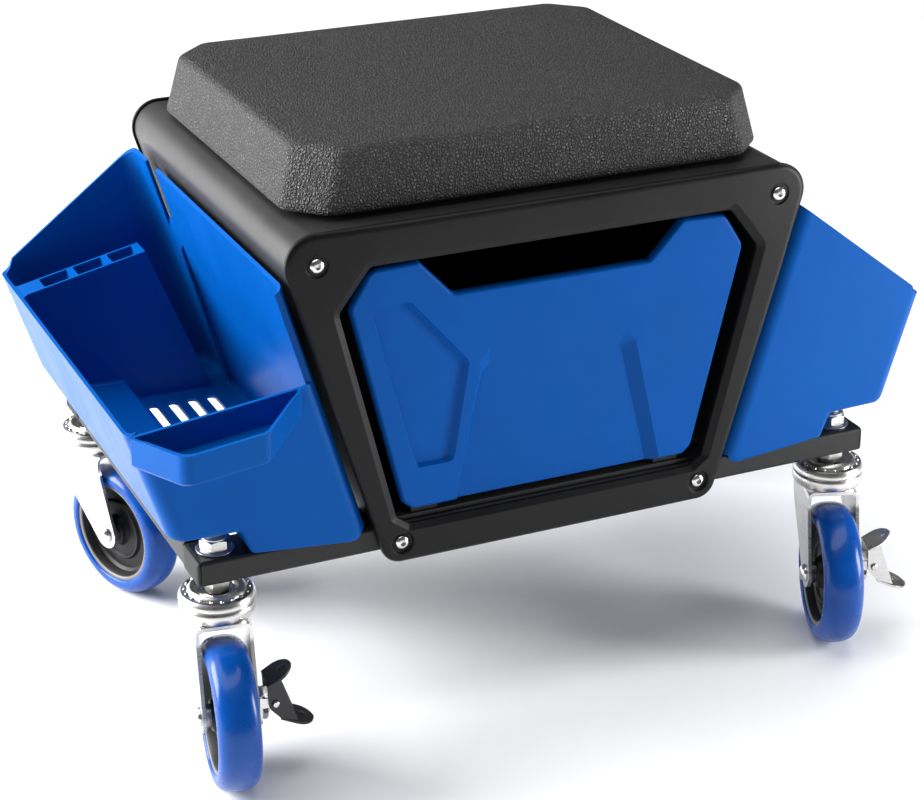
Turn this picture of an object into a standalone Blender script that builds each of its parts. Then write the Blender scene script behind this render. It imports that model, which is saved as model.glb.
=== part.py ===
"""Rolling workshop stool with a drawer, two side bins and four swivel casters.

Metres, +Z up. The origin is on the floor under the middle of the stool. The drawer opens towards -Y.
"""

import math

import bmesh
import bpy
from mathutils import Matrix, Vector

# Driving dimensions, in metres.
WHEEL_RADIUS = 0.050
TYRE_WIDTH = 0.028
CASTER_TRAIL = 0.028
GAP = 0.0003

BAR_BOTTOM = 0.136
BAR_TOP = 0.1535
BAR_WIDTH = 0.032
BAR_WALL = 0.0018
BASE_HALF_X = 0.245
BASE_HALF_Y = 0.1545
STEM_X = 0.229
STEM_Y = 0.1385

BEZEL_FRONT = 0.161
BEZEL_BACK = 0.155
SCREW_SINK = 0.0022
SCREW_BORE = 0.0034
TOP_SCREW = (0.163, 0.341)
LOW_SCREW = (0.1095, 0.142)
TOP_RADIUS = 0.020
LOW_RADIUS = 0.0142
SIDE_SLOPE = math.atan2(TOP_SCREW[0] - LOW_SCREW[0], TOP_SCREW[1] - LOW_SCREW[1])

SHEET = 0.002
WRAP_INSET = 0.0015
WRAP_BOTTOM = 0.1542
FLOOR_Z = 0.1541
FLOOR_THICK = 0.0025

SEAT_BOARD_Z = 0.3602
SEAT_Z = 0.3628
SEAT_TOP = 0.405
SEAT_LOW = (0.1708, 0.1395, 0.0242)
SEAT_HIGH = (0.1600, 0.1349, 0.0238)

DRAWER_FACE = 0.1530
DRAWER_FACE_THICK = 0.004
DRAWER_HALF_X = 0.096
DRAWER_BACK = 0.128
DRAWER_BOTTOM = 0.1605
DRAWER_TOP = 0.268
DRAWER_WALL = 0.0025

BIN_END = 0.1572
BIN_WALL = 0.0024
BIN_RIM_X = 0.2870
BIN_RIM_Z = 0.2490
BIN_INNER_Z = 0.3290
RIM_CLIMB = 0.12
SKIRT_Z = 0.1460
POCKET_DEPTH = 0.053
POCKET_DROP = 0.021
BIN_CLEAR = 0.0030
PARTITION = (-0.1185, -0.0985)
PARTITION_CLIMB = 0.22
PARTITION_FOOT = (0.1500, 0.1562)
PARTITION_TIP = (0.1955, 0.2700)
TOOL_SLOTS = ((0.1995, 0.2185), (0.2225, 0.2435), (0.2475, 0.2680))
DRAIN_ROWS = ((-0.085, -0.005), (0.015, 0.095))
DRAIN_PITCH = 0.0145

STEM_TOP = 0.1675
HEAD_TOP = 0.1280
HEAD_RADIUS = 0.0250
BRIDGE_LOW = 0.1080
LEG_GAP = 0.0160
LEG_THICK = 0.0025
LEG_ROUND = 0.0106
SHEET_THIN = 0.0015
HUB_HALF = 0.0118
HUB_BORE = 0.0046
DISH_DEPTH = 0.0034
AXLE_RADIUS = 0.0040
SPACER_RADIUS = 0.0078
BRACKET_Y = LEG_GAP + LEG_THICK + GAP
BRAKE_Y = 0.0284
BRAKE_Z = 0.0580
CHEEK_X = 0.0105
EAR_X = 0.0084

# Angle of each caster's trail about +Z, in degrees: the way its wheel points at rest.
CASTERS = {
    "front_left": (-1, -1, 261.0),
    "front_right": (1, -1, 250.0),
    "rear_left": (-1, 1, 293.0),
    "rear_right": (1, 1, 98.0),
}
BRAKED = ("front_left", "front_right")

PARTS = "mechanic_stool"
HELPERS = "cutters"


def clear_scene():
    for old in list(bpy.data.objects):
        bpy.data.objects.remove(old, do_unlink=True)


def collection(name):
    made = bpy.data.collections.new(name)
    bpy.context.scene.collection.children.link(made)
    return made


def material(name, colour, roughness, metallic=0.0):
    found = bpy.data.materials.get(name)
    if found:
        return found
    made = bpy.data.materials.new(name)
    made.use_nodes = True
    shader = made.node_tree.nodes["Principled BSDF"]
    shader.inputs["Base Color"].default_value = (*colour, 1.0)
    shader.inputs["Roughness"].default_value = roughness
    shader.inputs["Metallic"].default_value = metallic
    return made


def seat_skin():
    return material("seat_polyurethane", (0.045, 0.045, 0.047), 0.62)


def black_paint():
    return material("black_powder_coat", (0.018, 0.018, 0.019), 0.5)


def black_plastic():
    return material("black_plastic", (0.022, 0.022, 0.023), 0.55)


def blue_plastic():
    return material("blue_plastic", (0.0, 0.13, 0.52), 0.36)


def blue_tyre():
    return material("blue_tyre", (0.0, 0.085, 0.42), 0.25)


def zinc():
    return material("zinc_plate", (0.66, 0.65, 0.63), 0.25, 1.0)


def add(name, mesh, paint, smooth=None):
    """A new object of the stool, with its own material slot."""
    obj = bpy.data.objects.new(name, mesh)
    bpy.data.collections[PARTS].objects.link(obj)
    mesh.materials.clear()
    mesh.materials.append(paint)
    if smooth:
        mesh.shade_smooth()
        mesh.set_sharp_from_angle(angle=math.radians(smooth))
    return obj


def helper(mesh):
    """A cutter, or a piece that a Boolean joins on: kept out of the render."""
    obj = bpy.data.objects.new(mesh.name, mesh)
    bpy.data.collections[HELPERS].objects.link(obj)
    obj.hide_render = True
    obj.display_type = "WIRE"
    return obj


def boolean(obj, other, operation="DIFFERENCE"):
    step = obj.modifiers.new(operation.lower(), "BOOLEAN")
    step.operation = operation
    step.object = other
    step.solver = "EXACT"
    return step


def bevel(obj, width, segments=2, angle=40.0):
    step = obj.modifiers.new("edges", "BEVEL")
    step.width = width
    step.segments = segments
    step.limit_method = "ANGLE"
    step.angle_limit = math.radians(angle)
    return step


def mesh_from(bm, name):
    bmesh.ops.recalc_face_normals(bm, faces=bm.faces)
    mesh = bpy.data.meshes.new(name)
    bm.to_mesh(mesh)
    bm.free()
    return mesh


def box_mesh(name, low, high):
    bm = bmesh.new()
    size = [b - a for a, b in zip(low, high)]
    centre = [(a + b) / 2 for a, b in zip(low, high)]
    matrix = Matrix.Translation(centre) @ Matrix.Diagonal((*size, 1.0))
    bmesh.ops.create_cube(bm, size=1.0, matrix=matrix)
    return mesh_from(bm, name)


def rod_mesh(name, radius, start, end, sides=16):
    """A cylinder, or a prism with few sides, from start to end."""
    start, end = Vector(start), Vector(end)
    along = end - start
    turn = Vector((0, 0, 1)).rotation_difference(along).to_matrix().to_4x4()
    bm = bmesh.new()
    bmesh.ops.create_cone(
        bm, cap_ends=True, segments=sides, radius1=radius, radius2=radius, depth=along.length,
        matrix=Matrix.Translation((start + end) / 2) @ turn,
    )
    return mesh_from(bm, name)


def prism_mesh(name, outline, low, high, axis="Y"):
    """A solid of a flat outline pushed from low to high along an axis. The outline is in XZ, XY or YZ."""
    place = {
        "Y": lambda a, b, c: (a, c, b),
        "Z": lambda a, b, c: (a, b, c),
        "X": lambda a, b, c: (c, a, b),
    }[axis]
    bm = bmesh.new()
    base = bm.faces.new([bm.verts.new(place(a, b, low)) for a, b in outline])
    pushed = bmesh.ops.extrude_face_region(bm, geom=[base])
    shift = Vector(place(0, 0, high - low))
    moved = [item for item in pushed["geom"] if isinstance(item, bmesh.types.BMVert)]
    bmesh.ops.translate(bm, vec=shift, verts=moved)
    return mesh_from(bm, name)


def loft_mesh(name, low_ring, high_ring):
    """A closed solid between two rings of the same number of points."""
    bm = bmesh.new()
    low = [bm.verts.new(point) for point in low_ring]
    high = [bm.verts.new(point) for point in high_ring]
    bm.faces.new(low)
    bm.faces.new(high)
    for i, vert in enumerate(low):
        after = (i + 1) % len(low)
        bm.faces.new([vert, low[after], high[after], high[i]])
    return mesh_from(bm, name)


def turned(name, profile, paint, steps=24, ring=False):
    """A solid of revolution about Z. The profile is (radius, z), running down its outer side."""
    bm = bmesh.new()
    verts = [bm.verts.new((radius, 0.0, z)) for radius, z in profile]
    for first, second in zip(verts, verts[1:]):
        bm.edges.new((first, second))
    if ring:
        bm.edges.new((verts[-1], verts[0]))
    mesh = bpy.data.meshes.new(name)
    bm.to_mesh(mesh)
    bm.free()
    obj = add(name, mesh, paint)
    screw = obj.modifiers.new("turn", "SCREW")
    screw.steps = steps
    screw.render_steps = steps
    screw.use_merge_vertices = True
    screw.merge_threshold = 0.0001
    screw.use_smooth_shade = True
    return obj


def rounded(points, radii, steps=4):
    """The outline through points with each corner rounded to its own radius."""
    found = []
    count = len(points)
    for i in range(count):
        corner = Vector(points[i])
        back = (Vector(points[i - 1]) - corner).normalized()
        ahead = (Vector(points[(i + 1) % count]) - corner).normalized()
        radius = radii[i] if isinstance(radii, (list, tuple)) else radii
        if radius == 0:
            found.append(tuple(corner))
            continue
        half = back.angle(ahead) / 2
        reach = radius / math.tan(half)
        centre = corner + (back + ahead).normalized() * (radius / math.sin(half))
        start = corner + back * reach - centre
        sweep = corner + ahead * reach - centre
        turn = start.angle_signed(sweep)
        for k in range(steps + 1):
            # angle_signed counts clockwise turns as positive, so the turn is taken with a minus sign.
            found.append(tuple(centre + Matrix.Rotation(-turn * k / steps, 2) @ start))
    return found


def curve_plate(name, outlines, low, high, paint):
    """A flat plate in XZ from y=low to y=high. Outlines after the first are holes."""
    curve = bpy.data.curves.new(name, "CURVE")
    curve.dimensions = "2D"
    curve.fill_mode = "BOTH"
    curve.extrude = (high - low) / 2
    for outline in outlines:
        spline = curve.splines.new("POLY")
        spline.points.add(len(outline) - 1)
        for point, (x, z) in zip(spline.points, outline):
            point.co = (x, z, 0.0, 1.0)
        spline.use_cyclic_u = True
    flat = bpy.data.objects.new(name + "_outline", curve)
    bpy.data.collections[PARTS].objects.link(flat)
    flat.matrix_world = Matrix.Translation((0, (low + high) / 2, 0)) @ Matrix.Rotation(math.pi / 2, 4, "X")
    bpy.context.view_layer.update()
    evaluated = flat.evaluated_get(bpy.context.evaluated_depsgraph_get())
    mesh = bpy.data.meshes.new_from_object(evaluated)
    mesh.transform(flat.matrix_world)
    bpy.data.objects.remove(flat)
    bm = bmesh.new()
    bm.from_mesh(mesh)
    bmesh.ops.remove_doubles(bm, verts=bm.verts, dist=0.00001)
    bmesh.ops.recalc_face_normals(bm, faces=bm.faces)
    bm.to_mesh(mesh)
    bm.free()
    return add(name, mesh, paint)


def mirrored(half):
    """A whole outline from its right half, which runs from the bottom middle to the top middle."""
    return half + [(-x, z) for x, z in reversed(half)]


def side_x(z, inset=0.0):
    """Where the body's straight side is at height z, moved in by inset."""
    edge = LOW_SCREW[0] + LOW_RADIUS / math.cos(SIDE_SLOPE)
    top = TOP_SCREW[0] + TOP_RADIUS / math.cos(SIDE_SLOPE)
    share = (z - LOW_SCREW[1]) / (TOP_SCREW[1] - LOW_SCREW[1])
    return edge + (top - edge) * share - inset / math.cos(SIDE_SLOPE)


def arc(centre, radius, start, end, steps):
    return [
        (
            centre[0] + radius * math.cos(math.radians(start + (end - start) * k / steps)),
            centre[1] + radius * math.sin(math.radians(start + (end - start) * k / steps)),
        )
        for k in range(steps + 1)
    ]


def bezel_outline():
    """The end frame's outer edge: four rounds about its screws, joined by straight lines."""
    run = math.hypot(TOP_SCREW[0] - LOW_SCREW[0], TOP_SCREW[1] - LOW_SCREW[1])
    lean = math.degrees(SIDE_SLOPE) + math.degrees(math.asin((TOP_RADIUS - LOW_RADIUS) / run))
    low = arc(LOW_SCREW, LOW_RADIUS, -90, -lean, 5)
    top = arc(TOP_SCREW, TOP_RADIUS, -lean, 90, 8)
    return mirrored(low + top)


def window_outline():
    half = [(0.1035, 0.1535), (0.1125, 0.160), (0.1490, 0.3065), (0.1275, 0.3345)]
    return rounded(mirrored(half), 0.003, 2)


def bezel(name, side):
    """An end frame with its window and four sunk screw seats. side is -1 for the front, 1 for the rear."""
    low, high = sorted((side * BEZEL_FRONT, side * BEZEL_BACK))
    frame = curve_plate(name, [bezel_outline(), window_outline()], low, high, black_paint())
    for x, z in screw_places():
        bore = helper(rod_mesh(name + "_bore", SCREW_BORE, (x, low - 0.01, z), (x, high + 0.01, z), 16))
        boolean(frame, bore)
        sink = side * (BEZEL_FRONT - SCREW_SINK)
        seat = helper(rod_mesh(name + "_seat", 0.0075, (x, sink, z), (x, sink + side * 0.01, z), 20))
        boolean(frame, seat)
    return frame


def screw_places():
    return [(sx * x, z) for x, z in (TOP_SCREW, LOW_SCREW) for sx in (-1, 1)]


def bezel_screws():
    """Button-head screws, eight in all, with a hex socket left to the finish."""
    head = 0.0052
    shank = 0.0029
    profile = [
        (0.0, 0.0030), (0.0030, 0.0024), (head, 0.0002), (head, 0.0), (shank, 0.0), (shank, -0.0135),
        (0.0, -0.0135),
    ]
    for side, end in ((-1, "front"), (1, "rear")):
        for x, z in screw_places():
            level = "top" if z == TOP_SCREW[1] else "low"
            hand = "left" if x < 0 else "right"
            screw = turned(f"screw_{end}_{level}_{hand}", profile, zinc(), 10)
            screw.location = (x, side * (BEZEL_FRONT - SCREW_SINK + GAP), z)
            screw.rotation_euler = (math.pi / 2 * -side, 0.0, 0.0)


def wrap():
    """The bent sheet that makes the body's deck and its two leaning sides, open below."""
    inset = WRAP_INSET
    lean = math.degrees(SIDE_SLOPE)
    outer = [(side_x(WRAP_BOTTOM, inset), WRAP_BOTTOM)]
    outer += arc(TOP_SCREW, TOP_RADIUS - inset, -lean, 90, 7)
    inner = [(side_x(WRAP_BOTTOM, inset + SHEET), WRAP_BOTTOM)]
    inner += arc(TOP_SCREW, TOP_RADIUS - inset - SHEET, -lean, 90, 7)
    outline = mirrored(outer) + mirrored(inner)[::-1]
    reach = BEZEL_BACK - GAP
    return add("body_wrap", prism_mesh("body_wrap", outline, -reach, reach), black_paint(), 30)


def body_floor():
    half_x = side_x(FLOOR_Z, WRAP_INSET + SHEET + 0.0012)
    reach = BEZEL_BACK - 0.004
    mesh = box_mesh("body_floor", (-half_x, -reach, FLOOR_Z), (half_x, reach, FLOOR_Z + FLOOR_THICK))
    return add("body_floor", mesh, black_paint())


def tie_rods():
    """The round bars that the top screws pull the two end frames onto."""
    reach = BEZEL_BACK - GAP
    deep = reach - 0.014
    bore = 0.0032
    for hand, sx in (("left", -1), ("right", 1)):
        profile = [
            (0.0, deep), (bore, deep), (bore, reach), (0.008, reach),
            (0.008, -reach), (bore, -reach), (bore, -deep), (0.0, -deep),
        ]
        rod = turned(f"tie_rod_{hand}", profile, zinc(), 14)
        rod.location = (sx * TOP_SCREW[0], 0.0, TOP_SCREW[1])
        rod.rotation_euler = (math.pi / 2, 0.0, 0.0)


def rear_panel():
    """The flat panel that closes the rear frame's window from inside."""
    half = [(0.1085, 0.1575), (0.1180, 0.1640), (0.1510, 0.3080), (0.1290, 0.3390)]
    return curve_plate(
        "rear_panel", [mirrored(half)], BEZEL_BACK - GAP - SHEET, BEZEL_BACK - GAP, black_plastic()
    )


def chamfered(half_x, half_y, cut, z):
    """The eight corners of a rectangle with cut corners."""
    ring = []
    for sx, sy in ((1, -1), (1, 1), (-1, 1), (-1, -1)):
        first = (sx * (half_x - cut), sy * half_y, z)
        second = (sx * half_x, sy * (half_y - cut), z)
        ring += [first, second] if sx * sy < 0 else [second, first]
    return ring


def seat():
    mesh = loft_mesh("seat_cushion", chamfered(*SEAT_LOW, SEAT_Z), chamfered(*SEAT_HIGH, SEAT_TOP))
    cushion = add("seat_cushion", mesh, seat_skin())
    bevel(cushion, 0.006, 2, 30.0)
    half_x, half_y, cut = SEAT_LOW
    inset = 0.009
    ring = chamfered(half_x - inset, half_y - inset, cut, SEAT_BOARD_Z)
    top = [(x, y, SEAT_Z - GAP) for x, y, _ in ring]
    add("seat_board", loft_mesh("seat_board", ring, top), black_plastic())


def drawer_front():
    half = [
        (0.1000, 0.1612), (0.1065, 0.1672), (0.1405, 0.3070), (0.1260, 0.3305),
        (0.0935, 0.3315), (0.0700, 0.3065),
    ]
    radii = [0.004, 0.004, 0.006, 0.006, 0.004, 0.006]
    outline = rounded(mirrored(half), radii + radii[::-1], 2)
    low, high = -DRAWER_FACE, -DRAWER_FACE + DRAWER_FACE_THICK
    front = curve_plate("drawer_front", [outline], low, high, blue_plastic())
    deep = -DRAWER_FACE + 0.0016
    middle = [(-0.074, 0.150), (0.074, 0.150), (0.0665, 0.163), (0.0560, 0.2575), (0.0475, 0.2665)]
    middle += [(-0.0475, 0.2665), (-0.0560, 0.2575), (-0.0665, 0.163)]
    boolean(front, helper(prism_mesh("middle_recess", middle, low - 0.01, deep)))
    wing = [(0.0965, 0.1905), (0.1275, 0.3050), (0.0995, 0.3060), (0.0590, 0.2585), (0.0705, 0.1905)]
    boolean(front, helper(prism_mesh("wing_recess", [(-x, z) for x, z in wing], low - 0.01, deep)))


def drawer_box():
    """An open tray behind the drawer front."""
    low_y = -DRAWER_FACE + DRAWER_FACE_THICK + GAP
    low = (-DRAWER_HALF_X, low_y, DRAWER_BOTTOM)
    high = (DRAWER_HALF_X, DRAWER_BACK, DRAWER_TOP)
    box = add("drawer_box", box_mesh("drawer_box", low, high), black_plastic())
    wall = DRAWER_WALL
    inside_low = (low[0] + wall, low[1] + wall, low[2] + wall)
    inside_high = (high[0] - wall, high[1] - wall, high[2] + 0.02)
    boolean(box, helper(box_mesh("drawer_inside", inside_low, inside_high)))


def drawer_runners():
    """Angle rails that carry and guide the drawer box on both sides."""
    base = FLOOR_Z + FLOOR_THICK + GAP
    top = DRAWER_BOTTOM - GAP
    inner = DRAWER_HALF_X - 0.016
    wall = DRAWER_HALF_X + 0.0008
    outer = wall + 0.0018
    for hand, sx in (("left", -1), ("right", 1)):
        outline = [(inner, base), (outer, base), (outer, base + 0.022), (wall, base + 0.022)]
        outline = [(sx * x, z) for x, z in outline + [(wall, top), (inner, top)]]
        rail = prism_mesh("runner", outline, -BEZEL_BACK + 0.006, BEZEL_BACK - 0.010)
        add(f"drawer_runner_{hand}", rail, zinc())


def base_bars():
    """The perimeter frame of flat tube: long front and rear bars with open ends, side bars between them."""
    wall = BAR_WALL
    for end, sy in (("front", -1), ("rear", 1)):
        outer = sy * BASE_HALF_Y
        inner = sy * (BASE_HALF_Y - BAR_WIDTH)
        low_y, high_y = sorted((outer, inner))
        low = (-BASE_HALF_X + 0.0015, low_y, BAR_BOTTOM)
        high = (BASE_HALF_X - 0.0015, high_y, BAR_TOP)
        bar = add(f"base_bar_{end}", box_mesh("bar", low, high), black_paint())
        hollow_low = (low[0] - 0.01, low_y + wall, BAR_BOTTOM + wall)
        hollow_high = (high[0] + 0.01, high_y - wall, BAR_TOP - wall)
        boolean(bar, helper(box_mesh("bar_hollow", hollow_low, hollow_high)))
        for sx in (-1, 1):
            x, y = sx * STEM_X, sy * STEM_Y
            boolean(bar, helper(rod_mesh("stem_hole", 0.0064, (x, y, 0.12), (x, y, 0.17), 12)))
            x, z = sx * LOW_SCREW[0], LOW_SCREW[1]
            start, finish = (x, outer - sy * 0.008, z), (x, outer + sy * 0.01, z)
            boolean(bar, helper(rod_mesh("screw_hole", SCREW_BORE, start, finish, 14)))
    reach = BASE_HALF_Y - BAR_WIDTH - GAP
    for hand, sx in (("left", -1), ("right", 1)):
        low_x, high_x = sorted((sx * BASE_HALF_X, sx * (BASE_HALF_X - BAR_WIDTH)))
        tube = box_mesh("bar", (low_x, -reach, BAR_BOTTOM), (high_x, reach, BAR_TOP))
        bar = add(f"base_bar_{hand}", tube, black_paint())
        low = (low_x + wall, -reach - 0.01, BAR_BOTTOM + wall)
        high = (high_x - wall, reach + 0.01, BAR_TOP - wall)
        boolean(bar, helper(box_mesh("bar_hollow", low, high)))


def end_plugs():
    """Plastic plugs in the open ends of the long bars: a cap and a spigot."""
    inset = BAR_WALL + GAP
    for end, sy in (("front", -1), ("rear", 1)):
        for hand, sx in (("left", -1), ("right", 1)):
            far = sx * BASE_HALF_X
            cap = sx * (BASE_HALF_X - 0.0015 + GAP)
            deep = sx * (BASE_HALF_X - 0.0080)
            y = sorted((sy * BASE_HALF_Y, sy * (BASE_HALF_Y - BAR_WIDTH)))
            x = sorted((far, cap))
            plug = add(
                f"end_plug_{end}_{hand}",
                box_mesh("plug", (x[0], y[0], BAR_BOTTOM), (x[1], y[1], BAR_TOP)),
                black_plastic(),
            )
            x = sorted((sx * (BASE_HALF_X - 0.0007), deep))
            spigot = box_mesh(
                "spigot",
                (x[0], y[0] + inset, BAR_BOTTOM + inset),
                (x[1], y[1] - inset, BAR_TOP - inset),
            )
            boolean(plug, helper(spigot), "UNION")


def inset_outline(points, distance):
    """A convex outline moved in by a distance."""
    moved = []
    area = sum(a[0] * b[1] - b[0] * a[1] for a, b in zip(points, points[1:] + points[:1]))
    turn = 1 if area > 0 else -1
    count = len(points)
    for i in range(count):
        before, here, after = (Vector(points[(i + k) % count]) for k in (-1, 0, 1))
        first = (here - before).normalized()
        second = (after - here).normalized()
        normal_1 = Vector((-first.y, first.x)) * turn
        normal_2 = Vector((-second.y, second.x)) * turn
        middle = (normal_1 + normal_2).normalized()
        moved.append(tuple(here + middle * (distance / middle.dot(normal_1))))
    return moved


def bin_section():
    """The right-hand bin's section in XZ, from the outer rim down and round to the inner rim."""
    floor = BAR_TOP + GAP
    return [
        (BIN_RIM_X, BIN_RIM_Z), (0.2620, 0.1710), (0.2165, 0.1700), (0.2100, floor),
        (side_x(floor) + BIN_CLEAR, floor), (side_x(BIN_INNER_Z) + BIN_CLEAR, BIN_INNER_Z),
    ]


def rim_z(x):
    """The height of the low rims, which climb towards the body."""
    return BIN_RIM_Z + RIM_CLIMB * (BIN_RIM_X - x)


def raised(section, top):
    """The bin's room in XZ: its section moved in by the wall, with both ends run on upwards."""
    inside = [Vector(point) for point in inset_outline(section, BIN_WALL)]
    outer = (inside[0] - inside[1]).normalized()
    inner = (inside[-1] - inside[-2]).normalized()
    inside[0] = inside[1] + outer * ((top - inside[1].y) / outer.y)
    inside[-1] = inside[-2] + inner * ((top - inside[-2].y) / inner.y)
    return [tuple(point) for point in inside]


def pocket_plan(inset):
    """The front pocket seen from above, as its outer line moved in by inset."""
    start = BIN_END - 0.001 if inset == 0 else BIN_END + GAP
    reach = BIN_END + POCKET_DEPTH - 0.007 - inset
    return [
        (0.2840 - inset, start), (0.2640 - inset, reach), (0.2120 + inset / 2, reach),
        (0.1735 + inset, start),
    ]


def slanted_block(name, plan, below, above):
    """A block over a plan, with its floor and its top parallel to the low rims."""
    low = [(x, y, rim_z(x) - below) for x, y in plan]
    high = [(x, y, rim_z(x) + above) for x, y in plan]
    return loft_mesh(name, low, high)


def side_bin(hand):
    """One moulded bin. It is drawn on the right; a half turn about Z makes the left one."""
    section = bin_section()
    room = raised(section, 0.40)
    name = f"side_bin_{hand}"
    body = add(name, prism_mesh(name, section, -BIN_END, BIN_END), blue_plastic())
    skirt = [
        (section[3][0], section[3][1] + 0.004), (section[3][0], section[3][1]),
        (section[4][0], SKIRT_Z), (section[4][0] + 0.004, section[4][1] + 0.004),
    ]
    for sy in (-1, 1):
        low, high = sorted((sy * BIN_END, sy * (BASE_HALF_Y + GAP)))
        boolean(body, helper(prism_mesh("bin_skirt", skirt, low, high)), "UNION")
    boolean(body, helper(slanted_block("bin_pocket", pocket_plan(0.0), POCKET_DROP, 0.0)), "UNION")
    pocket_room = slanted_block("pocket_room", pocket_plan(BIN_WALL), POCKET_DROP - BIN_WALL, 0.05)
    boolean(body, helper(pocket_room))
    far, near = PARTITION
    rooms = ((-BIN_END + BIN_WALL, far), (near, BIN_END - BIN_WALL))
    for low, high in rooms:
        boolean(body, helper(prism_mesh("bin_room", room, low, high)))
    # The partition stops short of the inner wall, and its top climbs faster than the low rims.
    tip_x, tip_z = PARTITION_TIP
    lean = (tip_x - PARTITION_FOOT[0]) / (tip_z - PARTITION_FOOT[1])
    passage = [room[4], (PARTITION_FOOT[0], room[4][1]), (tip_x + lean * (0.40 - tip_z), 0.40), room[5]]
    boolean(body, helper(prism_mesh("passage", passage, far - 0.001, near + 0.001)))
    outer_x = BIN_RIM_X + 0.02
    wall_x, wall_top = (side_x(z) + BIN_CLEAR + BIN_WALL / math.cos(SIDE_SLOPE) for z in (rim_z(0.18), 0.40))
    low_rim = [(outer_x, rim_z(outer_x)), (outer_x, 0.40), (wall_top, 0.40), (wall_x, rim_z(wall_x))]
    shelf = [
        (outer_x, rim_z(BIN_RIM_X) - PARTITION_CLIMB * 0.02), (outer_x, 0.40), (0.17, 0.40),
        (0.17, rim_z(BIN_RIM_X) + PARTITION_CLIMB * (BIN_RIM_X - 0.17)),
    ]
    shaves = ((shelf, far - 0.001, near + 0.001), (low_rim, BIN_END - BIN_WALL - 0.001, BIN_END + 0.01))
    for outline, low, high in shaves:
        outline = [(x, z - 0.0005) for x, z in outline]
        boolean(body, helper(prism_mesh("low_rim", outline, low, high)))
    for low, high in TOOL_SLOTS:
        slot = box_mesh("tool_slot", (low, far + 0.0022, 0.200), (high, near - 0.0022, 0.40))
        boolean(body, helper(slot))
    for k in range(4):
        x = 0.1570 + DRAIN_PITCH * k
        for low, high in DRAIN_ROWS:
            slot = box_mesh("drain_slot", (x - 0.0035, low, 0.150), (x + 0.0035, high, 0.170))
            boolean(body, helper(slot))
    if hand == "left":
        body.rotation_euler = (0.0, 0.0, math.pi)
        for step in body.modifiers:
            step.object.rotation_euler = (0.0, 0.0, math.pi)


def caster_frames(name):
    """The swivel's empty, on the stem's axis, and the wheel's empty, on the axle."""
    sx, sy, angle = CASTERS[name]
    swivel = bpy.data.objects.new(f"swivel_{name}", None)
    swivel.location = (sx * STEM_X, sy * STEM_Y, 0.0)
    swivel.rotation_euler = (0.0, 0.0, math.radians(angle))
    axle = bpy.data.objects.new(f"axle_line_{name}", None)
    axle.parent = swivel
    axle.location = (CASTER_TRAIL, 0.0, WHEEL_RADIUS)
    axle.rotation_euler = (math.pi / 2, 0.0, 0.0)
    for empty in (swivel, axle):
        bpy.data.collections[PARTS].objects.link(empty)
    return swivel, axle


def on(obj, parent):
    """Parent an object, and every piece that its Booleans use, to an empty."""
    obj.parent = parent
    for step in obj.modifiers:
        if step.type == "BOOLEAN":
            step.object.parent = parent
    return obj


def stem(name):
    """The threaded stem with its hex collar under the bar and its kingpin down in the swivel head."""
    sx, sy, _ = CASTERS[name]
    profile = [
        (0.0, STEM_TOP), (0.0048, STEM_TOP), (0.0058, STEM_TOP - 0.001), (0.0058, BAR_BOTTOM - GAP - 0.001),
        (0.0080, BAR_BOTTOM - GAP - 0.001), (0.0080, HEAD_TOP - 0.0025), (0.0055, HEAD_TOP - 0.0025),
        (0.0055, BRIDGE_LOW + 0.0006), (0.0, BRIDGE_LOW + 0.0006),
    ]
    pin = turned(f"stem_{name}", profile, zinc(), 12)
    collar = rod_mesh("collar", 0.0105, (0, 0, HEAD_TOP + 0.0012), (0, 0, BAR_BOTTOM - GAP), 6)
    boolean(pin, helper(collar), "UNION")
    place = Matrix.Translation((sx * STEM_X, sy * STEM_Y, 0.0))
    pin.matrix_world = place
    pin.modifiers[-1].object.matrix_world = place


def lock_nut(name):
    """The flange nut on top of the bar."""
    sx, sy, _ = CASTERS[name]
    base = BAR_TOP + GAP
    place = Matrix.Translation((sx * STEM_X, sy * STEM_Y, 0.0))
    hexagon = rod_mesh(f"lock_nut_{name}", 0.0104, (0, 0, base + 0.0010), (0, 0, base + 0.0100), 6)
    nut = add(f"lock_nut_{name}", hexagon, zinc())
    flange = helper(rod_mesh("flange", 0.0115, (0, 0, base), (0, 0, base + 0.0018), 16))
    bore = helper(rod_mesh("nut_bore", 0.0062, (0, 0, base - 0.01), (0, 0, base + 0.02), 12))
    boolean(nut, flange, "UNION")
    boolean(nut, bore)
    for piece in (nut, flange, bore):
        piece.matrix_world = place


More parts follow.
